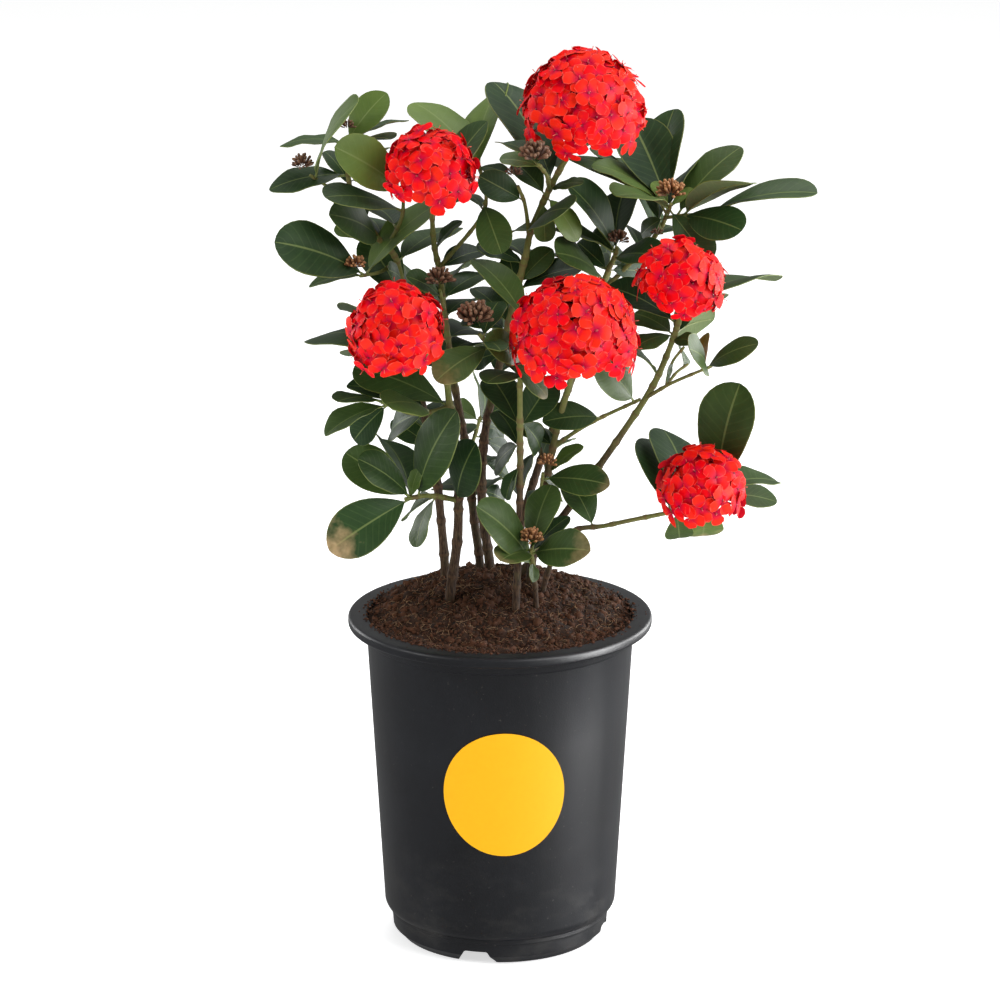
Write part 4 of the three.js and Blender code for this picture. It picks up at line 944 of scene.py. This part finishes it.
def settle(foot, direction, reach, broad, wood, balls):
    """Leaves that come too close swing apart, and swing clear of stems, heads and the pot."""
    first, second = np.triu_indices(len(foot), 1)
    home, length = direction * reach[:, None], reach
    rays = unit(foot + home - EYE)
    for _ in range(SETTLE["rounds"]):
        points = leaf_samples(foot, direction, length, broad)
        push = np.zeros_like(foot)
        apart = points[first, 4] - points[second, 4]
        near = np.linalg.norm(apart, axis=1) <= SETTLE["reach"]
        i, j, apart = first[near], second[near], swayed(apart[near])
        gaps = np.linalg.norm(points[i][:, :, None] - points[j][:, None], axis=3).min((1, 2))
        close = np.maximum(SETTLE["leaf_gap"] - gaps, 0)[:, None] * apart
        np.add.at(push, i, close)
        np.add.at(push, j, -close)
        flat = points.reshape(-1, 3)
        squares = (flat ** 2).sum(1)[:, None] + (wood ** 2).sum(1) - 2 * flat @ wood.T
        at, by = np.nonzero(squares < SETTLE["stem_gap"] ** 2)
        leaf = at // points.shape[1]
        away = flat[at] - wood[by]
        gap = np.linalg.norm(away, axis=1)
        free = np.linalg.norm(wood[by] - foot[leaf], axis=1) > SETTLE["foot_free"]
        np.add.at(push, leaf[free], (swayed(away) * ((SETTLE["stem_gap"] - gap) / 2)[:, None])[free])
        for centre, radius in balls:
            away = points - centre
            deep = np.maximum(radius - np.linalg.norm(away, axis=2), 0)
            push += (swayed(away) * deep[..., None] / 2).sum(1)
        low = np.maximum(POT["height"] + KEEP_ABOVE - points[..., 2], 0)
        home[:, 2] += low.sum(1) / 3 * SETTLE["gain"]
        tips = direction * length[:, None] + push * SETTLE["gain"]
        drift = tips - home
        drift -= (drift * rays).sum(1, keepdims=True) * rays
        far = np.maximum(np.linalg.norm(drift, axis=1), 1e-9)
        tips -= drift * np.maximum(1 - SETTLE["drift"] / far, 0)[:, None]
        length = np.clip(np.linalg.norm(tips, axis=1), reach * SETTLE["shrink"], reach * SETTLE["stretch"])
        direction = unit(tips)
    return direction, length


def outline(share, base, tip):
    """Half the width of a blade at a share of its length, 1 where it is widest."""
    widest = base / (base + tip)
    return (share / widest) ** base * ((1 - share) / (1 - widest)) ** tip


def sheet_solid(grid, thickness):
    """A thin closed solid over a grid of points. Its parts are 0 above, 1 below and 3 at the edge."""
    rows, columns = grid.shape[:2]
    down = np.cross(np.gradient(grid, axis=0), np.gradient(grid, axis=1))
    under = grid + unit(down) * thickness
    at = np.arange(rows * columns).reshape(rows, columns)
    quads = np.stack([at[:-1, :-1], at[:-1, 1:], at[1:, 1:], at[1:, :-1]], -1).reshape(-1, 4)
    rim = np.concatenate([at[0, ::-1], at[1:, 0], at[-1, 1:], at[-2:0:-1, -1]])
    next_rim = np.roll(rim, -1)
    edge = np.stack([rim, next_rim, next_rim + at.size, rim + at.size], -1)
    faces = np.vstack([quads, quads[:, ::-1] + at.size, edge])
    return (np.vstack([grid.reshape(-1, 3), under.reshape(-1, 3)]), faces,
            np.repeat([0, 1, 3], [len(quads), len(quads), len(edge)]))


def blade(foot, direction, length, broad, tone_and_backlight, scorch, rng):
    """One leaf: its blade, and a stalk that runs on below it as the midrib."""
    normal, across = leaf_axes(direction, length, broad)
    stalk = min(0.1, 6 / length)
    base, tip = rng.uniform(0.74, 0.96), rng.uniform(0.42, 0.66)
    fold, curl, twist = rng.uniform(0.08, 0.34), rng.uniform(0.02, 0.2), rng.uniform(-0.16, 0.16)
    sag, ripple, beat = rng.uniform(0, 0.05), rng.uniform(0.2, 0.9), rng.uniform(0, 6.28)
    steps = (1 - np.cos(np.linspace(0.02, 1, BLADE_ROWS) * math.pi)) / 2
    share = stalk + (1 - stalk) * steps
    half = length * LEAF["width"] / 2 * np.maximum(outline(steps, base, tip), 0.03)
    aside = np.linspace(-1, 1, BLADE_COLUMNS)

    def spine(s):
        arch = LEAF["arch"] * 4 * s * (1 - s) - sag * s ** 3
        return foot + length * (direction * s[:, None] + normal * arch[:, None])

    turn = (twist * (share - stalk))[:, None]
    sides = across * np.cos(turn) + normal * np.sin(turn)
    rises = normal * np.cos(turn) - across * np.sin(turn)
    lift = half[:, None] * (fold * abs(aside) - curl * aside ** 2)
    wave = np.sin(share[:, None] * 15 + beat + aside * 1.5) * (half / half.max())[:, None]
    lift = lift + ripple * wave * aside ** 2
    grid = (spine(share)[:, None] + sides[:, None] * (half[:, None] * aside * math.cos(fold))[..., None]
            + rises[:, None] * lift[..., None])
    points, faces, parts = sheet_solid(grid, LEAF["thickness"] * (1 if length > 30 else 0.7))
    marks = np.stack(np.broadcast_arrays(aside[None], steps[:, None], length / 100), -1).reshape(-1, 3)
    run = np.linspace(-0.012, 0.93, 9)
    thick = np.interp(run, [0, stalk, 0.93], [1.15, 0.85, 0.22]) * min(1, length / 55)
    below = np.where(run < stalk, 0.2, LEAF["thickness"] + thick * 0.35)
    rib_points, rib_faces = tube(spine(run) - normal * below[:, None], thick, 5)
    marks = np.vstack([marks, marks, np.tile([0.0, 0.5, 0.5], (len(rib_points), 1))])
    kind = np.tile([tone_and_backlight, scorch, rng.uniform()], (len(marks), 1))
    faces = [*faces.tolist(), *[[i + len(points) for i in f] for f in rib_faces]]
    return (np.vstack([points, rib_points]), faces, [*parts, *[2] * len(rib_faces)], np.hstack([marks, kind]))


def joined(name, pieces, *titles):
    """A loose piece made of several, with the part that each face is of, a sharp edge wherever two parts
    meet, and the marks that its points carry under each title."""
    points, faces, parts, marks = [], [], [], []
    for piece_points, piece_faces, piece_parts, piece_marks in pieces:
        faces += [[i + len(points) for i in face] for face in piece_faces]
        points += list(piece_points)
        parts += list(piece_parts)
        marks += list(piece_marks)
    piece = smoothed(loose_piece(name, points, faces))
    for i, title in enumerate(titles):
        mark(piece, title, np.array(marks)[:, 3 * i:3 * i + 3])
    meeting = {}
    for face, part in zip(piece.data.polygons, parts):
        for key in face.edge_keys:
            meeting.setdefault(key, set()).add(part)
    mark(piece, "sharp_edge", [len(meeting[edge.key]) > 1 for edge in piece.data.edges], "BOOLEAN", "EDGE")
    mark(piece, "part", parts, "INT", "FACE")
    return piece, parts


def leaf_finish(name, under):
    """Leaf skin: green by its tone, which paints backlight on some leaves, with a pale midrib, side veins,
    a yellow margin and scorched tips.
    """
    f = Finish(name, 0.6 if under else 0.46, 0.22)
    aside, along, _ = f.split(f.carried("blade")["Vector"])
    tone_and_backlight, scorch, chance = f.split(f.carried("leaf")["Vector"])
    clouds = f.grain(55, 3, 0.6)
    out = f.sum("ABSOLUTE", aside)
    if under:
        old = f.mixed(clouds, srgb(82, 99, 66), srgb(104, 120, 82))
        young_and_backlit_green = f.mixed(clouds, srgb(108, 128, 70), srgb(138, 154, 92))
    else:
        old = f.between(f.plus(clouds, f.times(chance, 0.5)), 0.4, 1.1)
        old = f.mixed(old, srgb(27, 50, 25), srgb(48, 74, 36))
        young_and_backlit_green = f.mixed(clouds, srgb(84, 108, 46), srgb(116, 138, 62))
    # Towards yellow-green as the tone nears 1: the own colour of young leaves, and painted backlight on
    # leaves that light shines through.
    colour = f.mixed(f.between(tone_and_backlight, 0, 1), old, young_and_backlit_green)
    slanting = node(f.tree, "ShaderNodeCombineXYZ", {
        0: f.sum("SUBTRACT", along, f.times(out, 0.2)), 1: f.times(aside, 0.06)}).outputs[0]
    veins = node(f.tree, "ShaderNodeTexWave", {
        "Vector": slanting, "Scale": 3.4, "Distortion": 0.8, "Detail": 1.0, "Detail Scale": 2.0},
        bands_direction="X").outputs["Fac"]
    ridge = f.between(veins, 0.86, 1.0)
    colour = f.mixed(f.times(ridge, 0.16 if under else 0.07), colour, srgb(120, 146, 84))
    colour = f.mixed(f.times(f.between(out, 0.05, 0.022), 0.65), colour, srgb(126, 142, 82))
    colour = f.mixed(f.times(f.between(out, 0.955, 0.985), 0.5), colour, srgb(140, 150, 76))
    border = f.plus(along, f.times(f.plus(clouds, -0.5), 0.8))
    burnt = f.mixed(f.grain(300, 3), srgb(150, 122, 84), srgb(198, 172, 128))
    colour = f.mixed(f.times(f.between(border, 0.72, 0.98), scorch), colour, burnt)
    colour = f.mixed(f.between(tone_and_backlight, 1.4, 1.9), colour, srgb(132, 92, 36))
    relief = f.plus(f.times(ridge, 0.5 if under else -0.25), f.times(f.grain(260, 3, 0.6), 0.9))
    return f.done(colour, relief, 0.35, 0.0005)


def stalk_finish():
    f = Finish("leaf_stalk", 0.5, 0.4)
    fine = f.grain(120, 2)
    return f.done(f.mixed(fine, srgb(112, 128, 66), srgb(146, 152, 92)), fine, 0, 0.0001)


leaf_rows = [(name, row, leaf_from(row, soundings[name])) for name in STEMS for row in STEMS[name]["leaves"]]
laid = np.array([found for _, _, found in leaf_rows])
wood_points = np.vstack([found[:, 3:] for found in soundings.values()])
balls = [(place(row[:3]), row[3] + KEEP_OFF) for row in [*BLOOMS.values(), *BUDS.values()]]
settled = zip(leaf_rows, *settle(laid[:, :3], laid[:, 3:6], laid[:, 6], laid[:, 7], wood_points, balls))

leaf_finishes = [leaf_finish("leaf_upper", False), leaf_finish("leaf_under", True), stalk_finish()]
rng = np.random.default_rng(21)
blades = {name: [] for name in STEMS}
for (name, row, found), direction, length in settled:
    # A row's tone is given, and a tone near 1 is partly painted backlight. Other leaves get a dark tone at
    # random.
    tone_and_backlight = row[6] if len(row) > 6 else rng.uniform(0.0, 0.3)
    scorch = row[7] if len(row) > 7 else 0
    blades[name].append(blade(np.array(found[:3]), direction, length, found[7], tone_and_backlight, scorch, rng))
for name in STEMS:
    leaves, parts = joined(name + "_leaves", blades[name], "blade", "leaf")
    leaves.data.polygons.foreach_set("material_index", [part % 3 for part in parts])  # an edge is upper skin
    dress(link(leaves), name, "foliage", *leaf_finishes)

# ---- The open heads ----
# Domes of red florets, packed so close that they overlap. Each floret is a long thin tube that opens
# into four rounded petals, with a style that stands out of its mouth. The lowest hang and thin out.

DOME_REACH = math.radians(107)
FLORET_GAP = 12.6
FLORET = {"reach": 12.6, "half_width": 5.9, "throat": 0.8, "tube": 24, "thickness": 0.4}
RAGGED = {"from": 0.68, "rate": 3.2, "scale": 2.6, "hang": 8, "sag": 4, "thin": 0.5}
HEAD_SHARE = 0.93  # of a head's radius, out to the mouths of its florets
PETAL_ROWS = 5


def petal(turn, rng):
    """A rounded petal, thick along its middle and thin all round its rim: its points, faces and marks."""
    steps = (1 - np.cos(np.linspace(0.06, 1, PETAL_ROWS) * math.pi)) / 2
    reach = FLORET["reach"] * rng.uniform(0.9, 1.06)
    half = FLORET["half_width"] * rng.uniform(0.9, 1.08) * np.maximum(outline(steps, 0.62, 0.36), 0.2)
    droop, cup, roll = rng.uniform(0.2, 3.4), rng.uniform(-0.1, 0.34), rng.uniform(-0.25, 0.25)
    out = FLORET["throat"] + (reach - FLORET["throat"]) * steps
    rise = 0.9 * np.sin(steps * math.pi * 0.6) - droop * steps ** 2
    side = half[:, None] * np.array([-1, 0, 1])
    up = rise[:, None] - cup * abs(side) + roll * side
    flat = np.stack([np.broadcast_to(out[:, None], side.shape), side, up], -1).reshape(-1, 3)
    spine = flat[4:-3:3] - [0, 0, FLORET["thickness"]]
    spin = np.array([[math.cos(turn), -math.sin(turn), 0], [math.sin(turn), math.cos(turn), 0], [0, 0, 1]])
    below = list(range(len(flat)))
    below[4:-3:3] = range(len(flat), len(flat) + len(spine))
    faces = []
    for corner in (3 * k + c for k in range(PETAL_ROWS - 1) for c in (0, 1)):
        face = [corner, corner + 3, corner + 4, corner + 1]
        faces += [face, [below[i] for i in reversed(face)]]
    marks = [(c - 1, share, 0) for share in steps for c in range(3)]
    marks += [(0, share, 0) for share in steps[1:-1]]
    return np.vstack([flat, spine]) @ spin.T, faces, [0, 1] * (len(faces) // 2), marks


def floret(rng):
    """Four petals, the tube below them, and the style that stands out of its mouth."""
    pieces = [petal(math.pi / 2 * i + rng.uniform(-0.12, 0.12), rng) for i in range(4)]
    lean = rng.uniform(-0.6, 0.6, 2)
    tall, tilt = rng.uniform(2.6, 6.5), rng.uniform(-0.8, 0.8, 2)
    tube_line = [[*lean, -FLORET["tube"]], [*(lean * 0.2), -FLORET["tube"] * 0.15], [0, 0, 0.3]]
    style_line = [[0, 0, 0], [*tilt, tall]]
    for line, radii, sides, part in ((tube_line, [0.5, 0.8, 1.3], 4, 2), (style_line, [0.24, 0.42], 3, 3)):
        points, faces = tube(line, radii, sides)
        pieces.append((points, faces, [part] * len(faces), np.zeros((len(points), 3))))
    return pieces


def dome_directions(count, reach):
    """Directions spread evenly over a dome, from its top down to an angle from its axis."""
    turn = np.arange(count) * math.pi * (3 - math.sqrt(5))
    height = 1 - (np.arange(count) + 0.5) / count * (1 - math.cos(reach))
    out = np.sqrt(1 - height ** 2)
    return np.stack([out * np.cos(turn), out * np.sin(turn), height], 1)


def leaning(directions, right, front):
    """Directions about +Z turned to lean to the front and to the right, in degrees."""
    front, right = math.radians(front), math.radians(right)
    (c, s), (d, t) = (math.cos(front), math.sin(front)), (math.cos(right), math.sin(right))
    forward = np.array([[1, 0, 0], [0, c, -s], [0, s, c]])
    aside = np.array([[d, 0, t], [0, 1, 0], [-t, 0, d]])
    return directions @ forward.T @ aside.T


def points_piece(name, points, out):
    """Bare points with the direction that a piece stands in at each."""
    piece = mesh_piece(name, points, [])
    mark(piece, "out", out)
    return piece


def petal_finish(name, inner, middle, margin, roughness):
    """Petal skin: magenta at the throat, clear red in the middle, paler at the very edge."""
    f = Finish(name, roughness, 0.08)
    aside, along, _ = f.split(f.carried("petal")["Vector"])
    out = f.sum("ABSOLUTE", aside)
    shade = f.mixed(f.between(along, 0.0, 0.5), inner, middle)
    warm = f.mixed(f.between(along, 0.1, 0.5), inner, f.mixed(0.3, middle, srgb(255, 78, 24)))
    shade = f.mixed(f.between(f.plus(f.carried("tint")["Fac"], f.grain(160)), 0.8, 1.4), shade, warm)
    shade = f.mixed(f.times(f.between(f.sum("MAXIMUM", out, along), 0.9, 0.99), 0.42), shade, margin)
    shade = f.mixed(f.between(out, 0.05, 0.0, 0, 0.3), shade, inner)
    return f.done(shade, f.grain(700, 3), 0.15, 0.0004)


def flat_finish(name, first, second, scale, roughness, end=None):
    """Two near colours in fine patches, and perhaps a third towards the end of each copy."""
    f = Finish(name, roughness, 0.35)
    share = f.plus(f.times(f.carried("tint")["Fac"], 0.6), f.times(f.grain(scale, 3), 0.5))
    colour = f.mixed(share, first, second)
    if end is None:
        return f.done(colour, f.grain(scale * 3, 3), 0.3, 0.0004)
    along = f.split(f.carried("petal")["Vector"])["Y"]
    return f.done(f.mixed(f.between(along, 0.6, 1, 0, 0.8), colour, end), f.grain(700, 3, 0.6), 0.4, 0.0005)


def head_core(name, centre, radius, axis):
    """The dense cluster of short stalks inside a head, as a knobbly dome."""
    profile = [(0, -0.42), (0.3, -0.36), (0.55, -0.1), (0.62, 0.12), (0.5, 0.42), (0.3, 0.56), (0, 0.62)]
    core = turned(name, [(r * radius, h * radius) for r, h in profile], 20)
    core.data.transform(Vector((0, 0, 1)).rotation_difference(Vector(axis)).to_matrix().to_4x4())
    for vertex in core.data.vertices:
        vertex.co *= 1 + 0.09 * noise.noise(vertex.co * 260)
        vertex.co += Vector(centre) * MM
    return smoothed(core)


FLORET_FINISHES = {
    "Petal face": petal_finish("petal_face", srgb(198, 0, 58), srgb(244, 0, 16), srgb(255, 124, 108), 0.5),
    "Petal back": petal_finish("petal_back", srgb(196, 10, 56), srgb(230, 28, 54), srgb(255, 140, 124), 0.6),
    # The tubes' red, darkened as painted shade for the gaps between the florets.
    "Tube": flat_finish("floret_tube", srgb(120, 8, 36), srgb(186, 34, 60), 200, 0.5),
    "Style": flat_finish("styles", srgb(232, 60, 60), srgb(240, 120, 96), 300, 0.5),
}
rng = np.random.default_rng(33)
florets = gathered("florets", [joined(f"floret_{i}", floret(rng), "petal")[0] for i in range(7)])
flowering = copying_tree("flowering", list(FLORET_FINISHES))
# The stalks' dark red, darkened further as painted shade that shows in the gaps between the florets.
core_red_and_painted_shade = flat_finish("head_core", srgb(74, 4, 22), srgb(120, 20, 30), 240, 0.7)
for seed, (name, (x, y, depth, radius, right, front)) in enumerate(BLOOMS.items()):
    count = round(TURN * radius ** 2 * (1 - math.cos(DOME_REACH)) / FLORET_GAP ** 2)
    rng = np.random.default_rng(100 + seed)
    directions = dome_directions(count, DOME_REACH)
    out = leaning(unit(directions + rng.uniform(-0.07, 0.07, directions.shape)), right, front)
    centre = place([x, y, depth])
    low = np.clip((np.arange(count) / count - RAGGED["from"]) * RAGGED["rate"], 0, 1)[:, None]
    ragged = np.array([[noise.noise(Vector(o) * RAGGED["scale"] + Vector((seed, 0, 0)))] for o in out])
    hang = low * (RAGGED["hang"] * ragged + rng.uniform(0, RAGGED["sag"], (count, 1)))
    mouths = centre + out * (radius * HEAD_SHARE + rng.uniform(-5, 1.8, (count, 1))) - [0, 0, 1] * hang
    kept = (low * (0.5 - ragged) < RAGGED["thin"])[:, 0]
    points = points_piece(name + "_florets", mouths[kept], out[kept])
    dress(grown(points, flowering, florets, 0.82, 1.04, 0.36, seed, FLORET_FINISHES), name, "petals")
    axis = leaning(np.array([[0, 0, 1.0]]), right, front)[0]
    dress(head_core(name + "_core", centre, radius, axis), name, "petals", core_red_and_painted_shade)
dropped(florets)

# ---- The buds ----
# Clusters of brown, club-shaped buds on short stalks, crowded at the ends of the shoots. The clusters
# that stand in the light get a lighter copy of the skin: painted light.

BUD_SIDES = 6
BUDS_REACH = math.radians(98)
BUD_SHARE = 3.4  # of the number in a cluster's row
# Clusters that stand in the light, painted lighter.
LIT_BUDS = ("buds_right", "buds_front", "buds_left", "buds_low")


def bud(rng):
    """A club that swells to a blunt head, one unit long."""
    bend = rng.uniform(-0.08, 0.08, 2)
    rise = np.array([0, 0.3, 0.55, 0.74, 0.88, 0.97, 1.0])
    radii = np.array([0.05, 0.07, 0.105, 0.14, 0.135, 0.09, 0.025]) * rng.uniform(0.88, 1.12)
    points, faces = tube([[*(bend * t ** 2), t] for t in rise], radii, BUD_SIDES)
    marks = np.repeat(rise[:, None] * [0, 1, 0], BUD_SIDES, axis=0)
    return [(points, faces, [0] * len(faces), marks)]


rng = np.random.default_rng(44)
clubs = gathered("buds", [joined(f"bud_{i}", bud(rng), "petal")[0] for i in range(6)])
budding = copying_tree("budding", ["Skin"])
plain_skin = {"Skin": flat_finish("bud_skin", srgb(52, 34, 27), srgb(112, 78, 56), 260, 0.62, srgb(132, 98, 72))}
# A lighter copy of the bud skin: painted light on the clusters that stand in it.
lit_skin = {"Skin": flat_finish(
    "lit_bud_skin", srgb(92, 54, 34), srgb(160, 108, 68), 260, 0.62, srgb(196, 142, 92))}
for seed, (name, (x, y, depth, radius, count)) in enumerate(BUDS.items()):
    out = dome_directions(int(count * BUD_SHARE), BUDS_REACH)
    out = unit(out + np.random.default_rng(200 + seed).uniform(-0.12, 0.12, out.shape))
    roots = place([x, y, depth]) + out * radius * 0.3 - [0, 0, radius * 0.3]
    points = points_piece(name + "_clubs", roots, unit(out + [0, 0, 0.45]))
    skin = lit_skin if name in LIT_BUDS else plain_skin
    dress(grown(points, budding, clubs, radius * 0.62, radius * 0.86, 0.14, seed, skin), name, "buds")
dropped(clubs)
